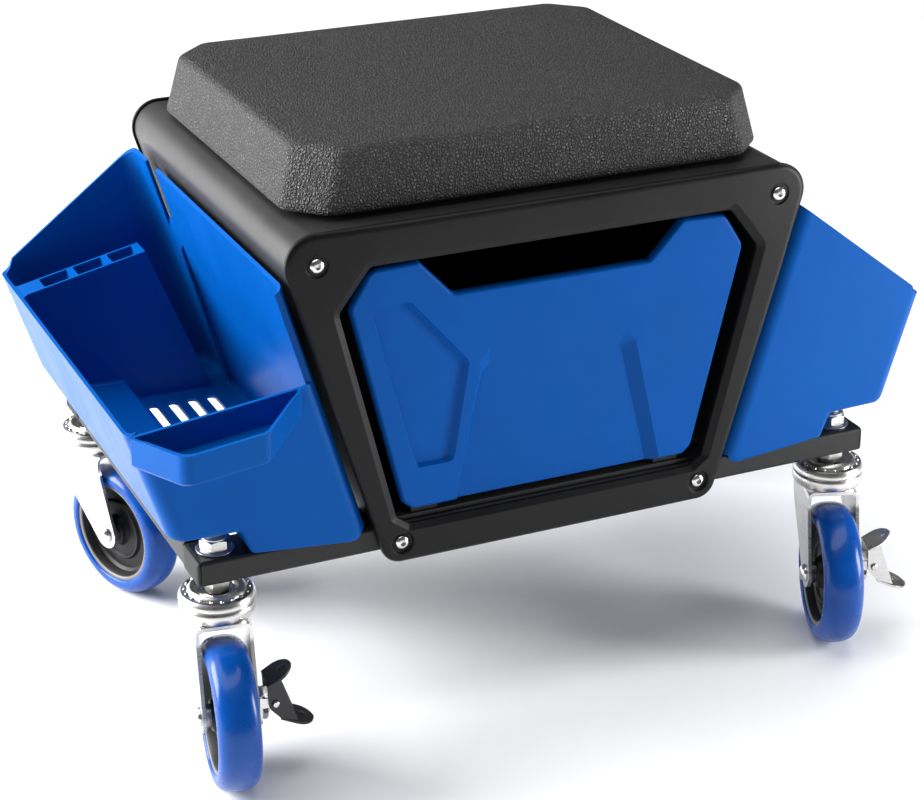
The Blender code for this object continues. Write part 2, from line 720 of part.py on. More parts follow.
def fork(name, swivel):
    """The swivel head and its two legs: a turned race on a bent plate, with the axle's holes."""
    bore = 0.0060
    profile = [
        (bore, HEAD_TOP - 0.0028), (0.0135, HEAD_TOP - 0.0028), (0.0165, HEAD_TOP),
        (0.0225, HEAD_TOP - 0.0008),
        (HEAD_RADIUS, HEAD_TOP - 0.0050), (HEAD_RADIUS - 0.0012, HEAD_TOP - 0.0085),
        (HEAD_RADIUS - 0.0004, HEAD_TOP - 0.0100), (HEAD_RADIUS - 0.0012, BRIDGE_LOW + 0.0010),
        (bore, BRIDGE_LOW + 0.0010),
    ]
    head = turned(f"fork_{name}", profile, zinc(), 20, ring=True)
    outer = LEG_GAP + LEG_THICK
    side = [(-0.0238, BRIDGE_LOW + LEG_THICK), (-0.0238, 0.0960), (-0.0190, 0.0850)]
    side += arc((CASTER_TRAIL, WHEEL_RADIUS), LEG_ROUND, 222.0, 377.0, 8)
    side += [(0.0238, 0.100), (0.0238, BRIDGE_LOW + LEG_THICK)]
    bent = helper(prism_mesh("fork_plate", side, -outer, outer))
    boolean(bent, helper(box_mesh("wheel_gap", (-0.06, -LEG_GAP, 0.0), (0.09, LEG_GAP, BRIDGE_LOW))))
    boolean(bent, helper(rod_mesh("king_hole", bore, (0, 0, 0.08), (0, 0, 0.15), 20)))
    boolean(head, bent, "UNION")
    across = [(CASTER_TRAIL, s * 0.03, WHEEL_RADIUS) for s in (-1, 1)]
    axle_hole = helper(rod_mesh("axle_hole", 0.0043, *across, 16))
    boolean(head, axle_hole)
    for step in bent.modifiers:
        step.object.parent = swivel
    on(head, swivel)


def axle(name, frame):
    """The axle bolt: its head on one leg, its nut on the other or on the brake, a spacer inside each leg."""
    leg = LEG_GAP + LEG_THICK + GAP
    nut = leg + (SHEET_THIN + GAP if name in BRAKED else 0.0)
    pin, spacer = AXLE_RADIUS, SPACER_RADIUS
    near, far = HUB_HALF + GAP, LEG_GAP - GAP
    profile = [
        (0.0, leg + 0.0034), (pin, leg + 0.0030), (0.0062, leg + 0.0012), (0.0062, leg), (pin, leg),
        (pin, far), (spacer, far), (spacer, near), (pin, near),
        (pin, -near), (spacer, -near), (spacer, -far), (pin, -far),
        (pin, -nut), (0.0062, -nut), (0.0062, -nut - 0.0038), (pin, -nut - 0.0038), (pin, -nut - 0.0044),
        (0.0, -nut - 0.0044),
    ]
    on(turned(f"axle_{name}", profile, zinc(), 12), frame)


def wheel(name, frame):
    """The black core with its hub and web, and the tyre bonded round it."""
    rim = 0.0375
    half = HUB_HALF
    dish = half - DISH_DEPTH
    core = [
        (HUB_BORE, half), (0.0110, half), (0.0125, dish), (0.0320, dish), (0.0335, half), (rim, half),
        (rim, -half), (0.0335, -half), (0.0320, -dish), (0.0125, -dish), (0.0110, -half), (HUB_BORE, -half),
    ]
    on(turned(f"wheel_core_{name}", core, black_plastic(), 24, ring=True), frame)
    inner = rim + GAP
    half = TYRE_WIDTH / 2
    tread = [
        (inner, half - 0.0020), (0.0405, half), (0.0455, half - 0.0024), (0.0485, half - 0.0060),
        (WHEEL_RADIUS, half - 0.0110), (WHEEL_RADIUS, -half + 0.0110), (0.0485, -half + 0.0060),
        (0.0455, -half + 0.0024), (0.0405, -half), (inner, -half + 0.0020),
    ]
    on(turned(f"tyre_{name}", tread, blue_tyre(), 24, ring=True), frame)


def brake_bracket(name, swivel):
    """The folded bracket under the axle's nut, with the riveted pin that the brake lever rocks on."""
    low_y, ear_y = BRACKET_Y, BRAKE_Y + 0.0030
    plate = box_mesh(
        f"brake_bracket_{name}",
        (CASTER_TRAIL - EAR_X, low_y, 0.0405),
        (CASTER_TRAIL + EAR_X, low_y + SHEET_THIN, BRAKE_Z + 0.0050),
    )
    bracket = add(f"brake_bracket_{name}", plate, zinc())
    for sx in (-1, 1):
        low_x, high_x = sorted((CASTER_TRAIL + sx * EAR_X, CASTER_TRAIL + sx * (EAR_X - SHEET_THIN)))
        ear = box_mesh("ear", (low_x, low_y + 0.0005, BRAKE_Z - 0.0035), (high_x, ear_y, BRAKE_Z + 0.0035))
        boolean(bracket, helper(ear), "UNION")
    ends = [(CASTER_TRAIL + sx * (CHEEK_X + 0.0008), BRAKE_Y, BRAKE_Z) for sx in (-1, 1)]
    boolean(bracket, helper(rod_mesh("pin", 0.0014, *ends, 10)), "UNION")
    across = [(CASTER_TRAIL, y, WHEEL_RADIUS) for y in (low_y - 0.01, low_y + 0.01)]
    boolean(bracket, helper(rod_mesh("axle_hole", 0.0043, *across, 14)))
    on(bracket, swivel)


def brake(name, swivel):
    """The rocker beside the leg: two cheeks over the bracket's ears, and a treadle above and below them."""
    pivot = bpy.data.objects.new(f"brake_pivot_{name}", None)
    bpy.data.collections[PARTS].objects.link(pivot)
    pivot.parent = swivel
    pivot.location = (CASTER_TRAIL, BRAKE_Y, BRAKE_Z)
    cheek = [
        (-0.0050, 0.0128), (0.0036, 0.0170), (0.0060, 0.0100), (0.0150, -0.0158), (0.0034, -0.0112),
        (-0.0040, -0.0030),
    ]
    mesh = prism_mesh("lever", cheek, -CHEEK_X, CHEEK_X, "X")
    lever = add(f"brake_lever_{name}", mesh, black_paint() if name == "front_left" else zinc())
    inner_x = CHEEK_X - SHEET_THIN
    boolean(lever, helper(box_mesh("lever_gap", (-inner_x, -0.02, -0.03), (inner_x, 0.03, 0.03))))
    half_tip = CHEEK_X + 0.0026
    for root_y, root_z, slope, reach in ((-0.0050, 0.0124, 28.0, 0.0200), (0.0034, -0.0116, -22.0, 0.0240)):
        outline = [(-CHEEK_X, 0.0), (CHEEK_X, 0.0), (half_tip, reach), (-half_tip, reach)]
        outline = rounded(outline, [0, 0, 0.0112, 0.0112], 4)
        treadle = helper(prism_mesh("treadle", outline, -0.0009, 0.0009, "Z"))
        treadle.location = (0.0, root_y, root_z)
        treadle.rotation_euler = (math.radians(slope), 0.0, 0.0)
        boolean(lever, treadle, "UNION")
    bore = rod_mesh("lever_bore", 0.0018, (-0.03, 0.0, 0.0), (0.03, 0.0, 0.0), 12)
    boolean(lever, helper(bore))
    on(lever, pivot)


def casters():
    for name in CASTERS:
        swivel, frame = caster_frames(name)
        stem(name)
        lock_nut(name)
        fork(name, swivel)
        axle(name, frame)
        wheel(name, frame)
        if name in BRAKED:
            brake_bracket(name, swivel)
            brake(name, swivel)


def main():
    clear_scene()
    collection(PARTS)
    collection(HELPERS)
    seat()
    wrap()
    body_floor()
    bezel("front_bezel", -1)
    bezel("rear_bezel", 1)
    bezel_screws()
    tie_rods()
    rear_panel()
    drawer_front()
    drawer_box()
    drawer_runners()
    base_bars()
    end_plugs()
    side_bin("left")
    side_bin("right")
    casters()


main()
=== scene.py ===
import math

import bmesh
import bpy
from mathutils import Matrix, Vector


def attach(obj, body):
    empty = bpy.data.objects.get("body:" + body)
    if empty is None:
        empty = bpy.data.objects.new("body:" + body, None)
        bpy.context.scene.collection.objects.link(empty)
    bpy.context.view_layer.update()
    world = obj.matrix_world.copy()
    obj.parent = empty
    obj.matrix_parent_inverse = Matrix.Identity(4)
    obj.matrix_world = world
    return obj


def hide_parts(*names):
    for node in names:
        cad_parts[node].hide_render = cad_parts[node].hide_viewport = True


# Looks for the rolling workshop stool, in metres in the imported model's frame. The drawer opens towards -Y.
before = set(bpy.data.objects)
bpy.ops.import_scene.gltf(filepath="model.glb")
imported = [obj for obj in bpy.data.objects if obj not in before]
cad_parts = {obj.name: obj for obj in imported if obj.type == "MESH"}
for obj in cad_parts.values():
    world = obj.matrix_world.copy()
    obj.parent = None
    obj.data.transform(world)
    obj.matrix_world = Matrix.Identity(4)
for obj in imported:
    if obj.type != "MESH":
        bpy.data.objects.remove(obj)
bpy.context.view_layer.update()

# Dimensions that the CAD part uses too.
WHEEL_RADIUS = 0.050
CASTER_TRAIL = 0.028
GAP = 0.0003
BAR_BOTTOM, BAR_TOP, BAR_WIDTH = 0.136, 0.1535, 0.032
BASE_HALF_X, BASE_HALF_Y = 0.245, 0.1545
STEM_X, STEM_Y = 0.229, 0.1385
BEZEL_FRONT, BEZEL_BACK = 0.161, 0.155
TOP_SCREW, LOW_SCREW = (0.163, 0.341), (0.1095, 0.142)
TOP_RADIUS, LOW_RADIUS = 0.020, 0.0142
SIDE_SLOPE = math.atan2(TOP_SCREW[0] - LOW_SCREW[0], TOP_SCREW[1] - LOW_SCREW[1])
SHEET, WRAP_INSET, WRAP_BOTTOM = 0.002, 0.0015, 0.1542
SEAT_Z, SEAT_TOP = 0.3628, 0.405
SEAT_LOW, SEAT_HIGH = (0.1708, 0.1395, 0.0242), (0.1600, 0.1349, 0.0238)
DRAWER_FACE, DRAWER_THICK, DRAWER_PROUD = 0.1530, 0.004, 0.0018
DRAWER_HALF_X, DRAWER_BACK, DRAWER_BOTTOM, DRAWER_TOP, DRAWER_WALL = 0.096, 0.128, 0.1605, 0.268, 0.0025
BIN_END, BIN_WALL = 0.1572, 0.0024
BIN_RIM_X, BIN_RIM_Z, BIN_INNER_Z, RIM_CLIMB = 0.2870, 0.2490, 0.3290, 0.12
BIN_CLEAR, SKIRT_Z = 0.0030, 0.1460
POCKET_DEPTH, POCKET_DROP = 0.053, 0.021
PARTITION, PARTITION_CLIMB = (-0.1185, -0.0985), 0.22
PARTITION_FOOT, PARTITION_TIP = (0.1500, 0.1562), (0.1955, 0.2700)
TOOL_SLOTS = ((0.1995, 0.2185), (0.2225, 0.2435), (0.2475, 0.2680))
STEM_TOP, HEAD_TOP, BRIDGE_LOW = 0.1675, 0.1280, 0.1080
LEG_GAP, LEG_THICK, LEG_ROUND, SHEET_THIN = 0.0160, 0.0025, 0.0106, 0.0015
TYRE_HALF, HUB_HALF = 0.0140, 0.0118
BRAKE_Y, BRAKE_Z, EAR_X, CHEEK_X = 0.0284, 0.0580, 0.0084, 0.0105
CASTERS = {
    "front_left": (-1, -1, 261.0),
    "front_right": (1, -1, 250.0),
    "rear_left": (-1, 1, 293.0),
    "rear_right": (1, 1, 98.0),
}
BRAKED = ("front_left", "front_right")
NUT_CHAMFER, DISH_DEPTH = 0.0009, 0.0022
CUT, ADD = "DIFFERENCE", "UNION"
SMALL_EDGE = (0.0002, 2, 40.0)


# -------- materials


class Paint:
    """A Principled material with a small set of node helpers. Object coordinates are metres."""

    def __init__(self, name, **constants):
        self.made = bpy.data.materials.new(name)
        self.made.use_nodes = True
        self.tree = self.made.node_tree
        self.shader = self.tree.nodes["Principled BSDF"]
        for socket, value in constants.items():
            self.shader.inputs[socket.replace("_", " ")].default_value = value
        self.place = self.tree.nodes.new("ShaderNodeTexCoord").outputs["Object"]

    def feed(self, socket, value):
        if isinstance(value, bpy.types.NodeSocket):
            self.tree.links.new(value, socket)
        else:
            socket.default_value = value

    def put(self, kind, settings=(), **inputs):
        node = self.tree.nodes.new("ShaderNode" + kind)
        for key, value in dict(settings).items():
            setattr(node, key, value)
        for key, value in inputs.items():
            self.feed(node.inputs[key.replace("_", " ")], value)
        return node

    def stretched(self, scale):
        return self.put("Mapping", Vector=self.place, Scale=scale).outputs["Vector"]

    def noise(self, scale, detail=3.0, vector=None, distortion=0.0):
        place = vector or self.place
        node = self.put("TexNoise", Vector=place, Scale=scale, Detail=detail, Distortion=distortion)
        return node.outputs["Fac"]

    def cells(self, scale, feature, vector=None):
        node = self.put("TexVoronoi", {"feature": feature}, Vector=vector or self.place, Scale=scale)
        return node.outputs["Distance"]

    def ranged(self, value, low, high, to_low=0.0, to_high=1.0, smooth=False):
        kind = {"interpolation_type": "SMOOTHSTEP"} if smooth else {}
        node = self.put("MapRange", kind, Value=value)
        for key, number in (("From Min", low), ("From Max", high), ("To Min", to_low), ("To Max", to_high)):
            node.inputs[key].default_value = number
        return node.outputs["Result"]

    def math(self, operation, first, second):
        node = self.put("Math", {"operation": operation})
        self.feed(node.inputs[0], first)
        self.feed(node.inputs[1], second)
        return node.outputs[0]

    def ramp(self, value, *stops):
        node = self.put("ValToRGB", Fac=value)
        points = node.color_ramp.elements
        while len(points) < len(stops):
            points.new(0.5)
        for point, (where, colour) in zip(points, stops):
            point.position = where
            point.color = (*colour, 1.0)
        return node.outputs["Color"]

    def bump(self, height, distance, strength=1.0, normal=None):
        node = self.put("Bump", Height=height, Distance=distance, Strength=strength)
        if normal:
            self.feed(node.inputs["Normal"], normal)
        return node.outputs["Normal"]

    def give(self, **outputs):
        for key, value in outputs.items():
            self.feed(self.shader.inputs[key.replace("_", " ")], value)
        return self.made


def tone(colour, share):
    return tuple(min(1.0, channel * share) for channel in colour)


def moulded(name, colour, rough, grain, depth, spread=0.08, **constants):
    """Moulded plastic or paint: a fine grain in the bump, faint flow marks in colour and gloss."""
    paint = Paint(name, **constants)
    broad = paint.noise(14.0, 4.0, distortion=0.6)
    fine = paint.noise(grain, 2.0)
    flow = paint.noise(1.0, 3.0, paint.stretched((22.0, 90.0, 9.0)))
    mixed = paint.math("ADD", paint.math("MULTIPLY", broad, 0.6), paint.math("MULTIPLY", flow, 0.4))
    shade = paint.ramp(mixed, (0.3, tone(colour, 1 - spread)), (0.7, tone(colour, 1 + spread)))
    gloss = paint.ranged(paint.math("ADD", mixed, paint.math("MULTIPLY", fine, 0.5)), 0.5, 1.0, *rough)
    soft = paint.bump(broad, 0.0003, 0.12)
    return paint.give(Base_Color=shade, Roughness=gloss, Normal=paint.bump(fine, depth, 1.0, soft))


def seat_skin():
    """A pebbled polyurethane skin: rounded grains with a finer grain over them; the colour is painted darker in
    the creases between grains as painted shade, and lighter on the grain tops.
    """
    paint = Paint("seat_pebbled_skin", Specular_IOR_Level=0.5)
    waver = paint.put("TexNoise", Vector=paint.place, Scale=520.0, Detail=2.0).outputs["Color"]
    shift = paint.put("VectorMath", {"operation": "SCALE"}, Vector=waver, Scale=0.0016).outputs["Vector"]
    place = paint.put("VectorMath", {"operation": "ADD"})
    paint.feed(place.inputs[0], paint.place)
    paint.feed(place.inputs[1], shift)
    place = place.outputs["Vector"]
    pebble = paint.ranged(paint.cells(470.0, "DISTANCE_TO_EDGE", place), 0.0, 0.34, smooth=True)
    grain = paint.cells(1150.0, "F1", place)
    broad = paint.noise(9.0, 4.0)
    height = paint.math("SUBTRACT", pebble, paint.math("MULTIPLY", grain, 0.22))
    # Painted shade: the colour is darker down in the creases between the grains and lighter on their tops, and a
    # broad random tone lies over it.
    shade = paint.ramp(
        paint.math("ADD", paint.math("MULTIPLY", pebble, 0.75), paint.math("MULTIPLY", broad, 0.35)),
        (0.05, (0.004, 0.004, 0.0044)), (0.55, (0.024, 0.024, 0.0247)), (1.0, (0.054, 0.054, 0.055)),
    )
    gloss = paint.ranged(paint.math("ADD", pebble, paint.math("MULTIPLY", broad, 0.5)), 0.1, 1.4, 0.62, 0.30)
    return paint.give(Base_Color=shade, Roughness=gloss, Normal=paint.bump(height, 0.00095, 1.0))


def plated(name, colour, rough, streak, **constants):
    """Bright plate: rolled streaks one way, cloudy gloss, and a few dull specks."""
    paint = Paint(name, Metallic=1.0, **constants)
    lines = paint.noise(1.0, 4.0, paint.stretched(streak))
    cloud = paint.noise(55.0, 5.0)
    speck = paint.ranged(paint.cells(260.0, "F1"), 0.0, 0.22, 1.0, 0.0)
    mixed = paint.math("ADD", paint.math("MULTIPLY", lines, 0.55), paint.math("MULTIPLY", cloud, 0.45))
    shade = paint.ramp(mixed, (0.3, tone(colour, 0.84)), (0.7, tone(colour, 1.08)))
    gloss = paint.ranged(paint.math("ADD", mixed, paint.math("MULTIPLY", speck, 0.2)), 0.3, 0.9, *rough)
    return paint.give(Base_Color=shade, Roughness=gloss, Normal=paint.bump(lines, 0.00003, 0.7))


def cast_tyre():
    """Cast polyurethane: glossy, a little cloudy, with faint scuffs round the tread."""
    paint = Paint("tyre_cast_polyurethane", Coat_Weight=0.22, Coat_Roughness=0.10, Specular_IOR_Level=0.2)
    cloud = paint.noise(38.0, 4.0, distortion=0.4)
    fine = paint.noise(950.0, 2.0)
    shade = paint.ramp(cloud, (0.3, (0.0, 0.050, 0.27)), (0.7, (0.0, 0.070, 0.35)))
    gloss = paint.ranged(paint.math("ADD", cloud, paint.math("MULTIPLY", fine, 0.4)), 0.4, 1.0, 0.20, 0.36)
    return paint.give(Base_Color=shade, Roughness=gloss, Normal=paint.bump(fine, 0.00003, 0.6))


SEAT_SKIN = seat_skin()
TYRE_BLUE = cast_tyre()
BLACK_SHELL = moulded("shell_black", (0.022, 0.022, 0.023), (0.34, 0.48), 1300.0, 0.00006)
BLACK_FRAME = moulded(
    "frame_black", (0.0060, 0.0060, 0.0064), (0.34, 0.50), 1100.0, 0.00009, Specular_IOR_Level=0.18)
BLACK_PLASTIC = moulded(
    "plastic_black", (0.008, 0.008, 0.0085), (0.42, 0.58), 1200.0, 0.00005, Specular_IOR_Level=0.25)
BLACK_PAINT = moulded(
    "powder_black", (0.012, 0.012, 0.0125), (0.36, 0.50), 620.0, 0.00009, Specular_IOR_Level=0.30)
BLUE_DRAWER = moulded(
    "drawer_blue", (0.0, 0.074, 0.335), (0.30, 0.42), 1900.0, 0.00003, 0.05, Specular_IOR_Level=0.08)
BLUE_BIN = moulded(
    "bin_blue", (0.0, 0.078, 0.345), (0.28, 0.40), 1700.0, 0.00003, 0.05, Specular_IOR_Level=0.08)
CORE_BLACK = moulded(
    "core_black", (0.007, 0.007, 0.0075), (0.36, 0.50), 1000.0, 0.00005, Specular_IOR_Level=0.25)
RIM_GREY = moulded("rim_grey", (0.16, 0.155, 0.15), (0.38, 0.50), 1000.0, 0.00004)
BLACK_LEVER = moulded("lever_black", (0.028, 0.028, 0.029), (0.26, 0.40), 700.0, 0.00005, Metallic=0.4)
POLISHED = plated("zinc_polished", (0.66, 0.65, 0.635), (0.24, 0.40), (60.0, 60.0, 900.0))
ZINC = plated("zinc_plain", (0.56, 0.555, 0.54), (0.28, 0.46), (420.0, 60.0, 60.0))
FASTENER = plated("fastener_bright", (0.74, 0.73, 0.72), (0.18, 0.34), (500.0, 500.0, 120.0))


# -------- mesh helpers


def mesh_of(bm, name="mesh"):
    bmesh.ops.recalc_face_normals(bm, faces=bm.faces)
    mesh = bpy.data.meshes.new(name)
    bm.to_mesh(mesh)
    bm.free()
    return mesh


def linked(name, data):
    obj = bpy.data.objects.new(name, data)
    bpy.context.scene.collection.objects.link(obj)
    return obj


def bevelled(obj, width, segments, angle):
    bevel = obj.modifiers.new("edges", "BEVEL")
    bevel.width = width
    bevel.segments = segments
    bevel.limit_method = "ANGLE"
    bevel.angle_limit = math.radians(angle)
    return bevel


def piece(name, mesh, paint, body, nodes, edge=None, smooth=35.0):
    """A finished piece: edge is (width, segments, angle) of its edge bevel."""
    obj = linked(name, mesh)
    mesh.materials.clear()
    mesh.materials.append(paint)
    mesh.shade_smooth()
    mesh.set_sharp_from_angle(angle=math.radians(smooth))
    if edge:
        bevelled(obj, *edge).miter_outer = "MITER_ARC"
        obj.modifiers.new("even_normals", "WEIGHTED_NORMAL").keep_sharp = True
    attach(obj, body)
    if nodes:
        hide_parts(*([nodes] if isinstance(nodes, str) else nodes))
    return obj


def combined(base, *steps):
    """base with Booleans: each step is (operation, mesh)."""
    made = [linked("scratch", mesh) for mesh in [base] + [mesh for _, mesh in steps]]
    for (operation, _), other in zip(steps, made[1:]):
        step = made[0].modifiers.new(operation, "BOOLEAN")
        step.operation = operation
        step.object = other
        step.solver = "EXACT"
    result = bpy.data.meshes.new_from_object(made[0].evaluated_get(bpy.context.evaluated_depsgraph_get()))
    for obj in made:
        bpy.data.objects.remove(obj)
    return result


def joined(*meshes):
    """Several closed meshes as one."""
    bm = bmesh.new()
    for mesh in meshes:
        bm.from_mesh(mesh)
    return mesh_of(bm)


def moved(mesh, matrix):
    mesh.transform(matrix)
    if matrix.determinant() < 0:
        mesh.flip_normals()
    return mesh


def at(x, y, z):
    return Matrix.Translation((x, y, z))


def turned(angle, axis):
    return Matrix.Rotation(angle, 4, axis)


def block(low, high, radius=0.0, segments=3):
    bm = bmesh.new()
    size = [b - a for a, b in zip(low, high)]
    centre = [(a + b) / 2 for a, b in zip(low, high)]
    bmesh.ops.create_cube(bm, size=1.0, matrix=Matrix.Translation(centre) @ Matrix.Diagonal((*size, 1.0)))
    if radius:
        bmesh.ops.bevel(bm, geom=bm.edges[:], offset=radius, segments=segments, profile=0.5, affect="EDGES")
    return mesh_of(bm)


def skin(bm, rows):
    for first, second in zip(rows, rows[1:]):
        for k in range(len(first)):
            after = (k + 1) % len(first)
            bm.faces.new((first[k], first[after], second[after], second[k]))


def rings(loops):
    """A skin over loops of the same number of points, closed at both ends."""
    bm = bmesh.new()
    rows = [[bm.verts.new(point) for point in loop] for loop in loops]
    skin(bm, rows)
    bm.faces.new(rows[0])
    bm.faces.new(rows[-1])
    return mesh_of(bm)


def lathe(profile, steps=48, closed=False, phase=0.0):
    """A solid of revolution about Z from (radius, z) points."""
    bm = bmesh.new()
    rows = []
    for radius, z in profile:
        if radius < 1e-7:
            rows.append([bm.verts.new((0.0, 0.0, z))])
            continue
        angles = [phase + 2 * math.pi * k / steps for k in range(steps)]
        rows.append([bm.verts.new((radius * math.cos(a), radius * math.sin(a), z)) for a in angles])
    pairs = list(zip(rows, rows[1:])) + ([(rows[-1], rows[0])] if closed else [])
    for first, second in pairs:
        for k in range(steps):
            after = (k + 1) % steps
            corners = [first[k % len(first)], first[after % len(first)]]
            corners += [second[after % len(second)], second[k % len(second)]]
            corners = list(dict.fromkeys(corners))
            if len(corners) > 2:
                bm.faces.new(corners)
    return mesh_of(bm)


def rod(radius, start, end, sides=32):
    start, end = Vector(start), Vector(end)
    along = end - start
    turn = Vector((0, 0, 1)).rotation_difference(along).to_matrix().to_4x4()
    return moved(
        lathe([(0.0, 0.0), (radius, 0.0), (radius, along.length), (0.0, along.length)], sides),
        Matrix.Translation(start) @ turn,
    )


def prism(outline, low, high, axis="Y"):
    place = {
        "Y": lambda a, b, c: (a, c, b),
        "Z": lambda a, b, c: (a, b, c),
        "X": lambda a, b, c: (c, a, b),
    }[axis]
    return rings([[place(a, b, c) for a, b in outline] for c in (low, high)])


def rounded(points, radii, steps=5, closed=True):
    """The line through points with each corner rounded to its own radius."""
    found = []
    count = len(points)
    for i, point in enumerate(points):
        radius = radii[i] if isinstance(radii, (list, tuple)) else radii
        corner = Vector(point)
        if radius == 0 or (not closed and i in (0, count - 1)):
            found.append(tuple(corner))
            continue
        back = (Vector(points[i - 1]) - corner).normalized()
        ahead = (Vector(points[(i + 1) % count]) - corner).normalized()
        half = back.angle(ahead) / 2
        centre = corner + (back + ahead).normalized() * (radius / math.sin(half))
        start = corner + back * (radius / math.tan(half)) - centre
        sweep = corner + ahead * (radius / math.tan(half)) - centre
        turn = start.angle_signed(sweep)
        # angle_signed counts clockwise turns as positive, so the turn is taken with a minus sign.
        found += [tuple(centre + Matrix.Rotation(-turn * k / steps, 2) @ start) for k in range(steps + 1)]
    return found


def arc(centre, radius, start, end, steps):
    angles = [math.radians(start + (end - start) * k / steps) for k in range(steps + 1)]
    return [(centre[0] + radius * math.cos(a), centre[1] + radius * math.sin(a)) for a in angles]


def turn_of(points):
    """1 for an outline that runs counter-clockwise, else -1."""
    pairs = zip([points[-1], *points], points)
    return 1 if sum(a[0] * b[1] - b[0] * a[1] for a, b in pairs) > 0 else -1


def side_moved(points, insets):
    """A polygon with the side after each point moved in by its own inset."""
    count, hand = len(points), turn_of(points)
    lines = []
    for i in range(count):
        start, end = Vector(points[i]), Vector(points[(i + 1) % count])
        along = (end - start).normalized()
        normal = Vector((-along.y, along.x)) * hand
        lines.append((start + normal * insets[i], along))
    found = []
    for i in range(count):
        (p, u), (q, v) = lines[i - 1], lines[i]
        cross = u.x * v.y - u.y * v.x
        if abs(cross) < 1e-6:
            found.append(tuple(q))
            continue
        share = ((q - p).x * v.y - (q - p).y * v.x) / cross
        found.append(tuple(p + u * share))
    return found


def grown(points, distance):
    """A rounded outline moved out by a distance, point by point."""
    if not distance:
        return points
    count, hand = len(points), -turn_of(points)
    found = []
    for i in range(count):
        here = Vector(points[i])
        first = (here - Vector(points[i - 1])).normalized()
        second = (Vector(points[(i + 1) % count]) - here).normalized()
        along = (first + second).normalized()
        normal = Vector((-along.y, along.x)) * hand
        stretch = 1.0 / max(0.5, along.dot(second))
        found.append(tuple(here + normal * distance * stretch))
    return found


def mirrored(half):
    """A whole outline from its right half, which runs from the bottom middle to the top middle."""
    return half + [(-x, z) for x, z in reversed(half)]


def side_x(z, inset=0.0):
    edge = LOW_SCREW[0] + LOW_RADIUS / math.cos(SIDE_SLOPE)
    top = TOP_SCREW[0] + TOP_RADIUS / math.cos(SIDE_SLOPE)
    share = (z - LOW_SCREW[1]) / (TOP_SCREW[1] - LOW_SCREW[1])
    return edge + (top - edge) * share - inset / math.cos(SIDE_SLOPE)


def nut_mesh(across, low, high, bore, sides=6):
    """A hexagon nut with chamfered corners, bored through."""
    corner = across / math.cos(math.pi / sides)
    barrel = [(0.0, low), (across, low), (corner, low + NUT_CHAMFER), (corner, high - NUT_CHAMFER)]
    barrel = lathe(barrel + [(across, high), (0.0, high)])
    ends = low - 0.001, high + 0.001
    hexagon = lathe([(0.0, ends[0]), (corner, ends[0]), (corner, ends[1]), (0.0, ends[1])], sides)
    made = combined(hexagon, ("INTERSECT", barrel))
    if bore:
        made = combined(made, (CUT, rod(bore, (0, 0, low - 0.01), (0, 0, high + 0.01), 24)))
    return made


# -------- seat


def seat_loop(share, inset, z, pull=0.0):
    """One level of the seat: cut corners, rounded, with its long sides pulled in between them."""
    half_x, half_y, cut = (a + (b - a) * share for a, b in zip(SEAT_LOW, SEAT_HIGH))
    corners = []
    for sx, sy in ((1, -1), (1, 1), (-1, 1), (-1, -1)):
        first, second = (sx * (half_x - cut), sy * half_y), (sx * half_x, sy * (half_y - cut))
        corners += [first, second] if sx * sy < 0 else [second, first]
    corners = side_moved(corners, [inset] * 8)
    loop = rounded(corners, 0.010, 5)
    found = []
    for i, point in enumerate(loop):
        found.append((*point, z))
        if i % 6 == 5:
            start, end = Vector(point), Vector(loop[(i + 1) % len(loop)])
            long_side = (i // 6) % 2 == 1
            parts = 16 if long_side else 3
            inward = -(start + end).normalized()
            for k in range(1, parts):
                mid = start.lerp(end, k / parts)
                if long_side:
                    mid += inward * pull * math.sin(math.pi * k / parts)
                found.append((mid.x, mid.y, z))
    return found


def seat_cushion():
    """The moulded seat: a rolled lower edge, slightly hollow sides, a soft top edge and a low crown."""
    height = SEAT_TOP - SEAT_Z
    edge, edge_steps, hollow = 0.0042, 7, 0.0013
    # Each level is its share of the height, how far it is inset, and how far the long sides pull in.
    levels = [(0.0, 0.0060, 0.0), (0.012, 0.0026, 0.0), (0.045, 0.0008, 0.0), (0.10, 0.0, 0.0002)]
    for share in (0.2, 0.35, 0.5, 0.65, 0.78):
        levels.append((share, 0.0, hollow * math.sin(math.pi * share / 0.85)))
    loops = [seat_loop(share, inset, SEAT_Z + share * height, pull) for share, inset, pull in levels]
    for k in range(edge_steps + 1):
        turn = math.radians(90.0 * k / edge_steps)
        z = SEAT_TOP - edge + edge * math.sin(turn)
        share = min(1.0, (z - SEAT_Z) / height)
        loops.append(seat_loop(share, edge * (1 - math.cos(turn)), z, 0.0004))
    top = [Vector(point) for point in loops[-1]]
    crown = ((0.975, 0.0002), (0.93, 0.0004), (0.85, 0.0006), (0.7, 0.0008), (0.5, 0.0009), (0.28, 0.0009))
    for share, rise in (*crown, (0.1, 0.0009)):
        loops.append([(p.x * share, p.y * share, SEAT_TOP + rise) for p in top])
    mesh = rings(loops)
    cushion = piece("seat_cushion_skin", mesh, SEAT_SKIN, "root", "seat_cushion", smooth=60.0)


# -------- body


def wrap():
    """The bent shell with its round rails, its cut edges softened."""
    lean = math.degrees(SIDE_SLOPE)

    def line(inset):
        return [(side_x(WRAP_BOTTOM, inset), WRAP_BOTTOM)] + arc(TOP_SCREW, TOP_RADIUS - inset, -lean, 90, 18)

    outline = mirrored(line(WRAP_INSET)) + mirrored(line(WRAP_INSET + SHEET))[::-1]
    reach = BEZEL_BACK - GAP
    mesh = prism(outline, -reach, reach)
    piece("body_shell", mesh, BLACK_SHELL, "root", "body_wrap", (0.0005, 2, 50.0))


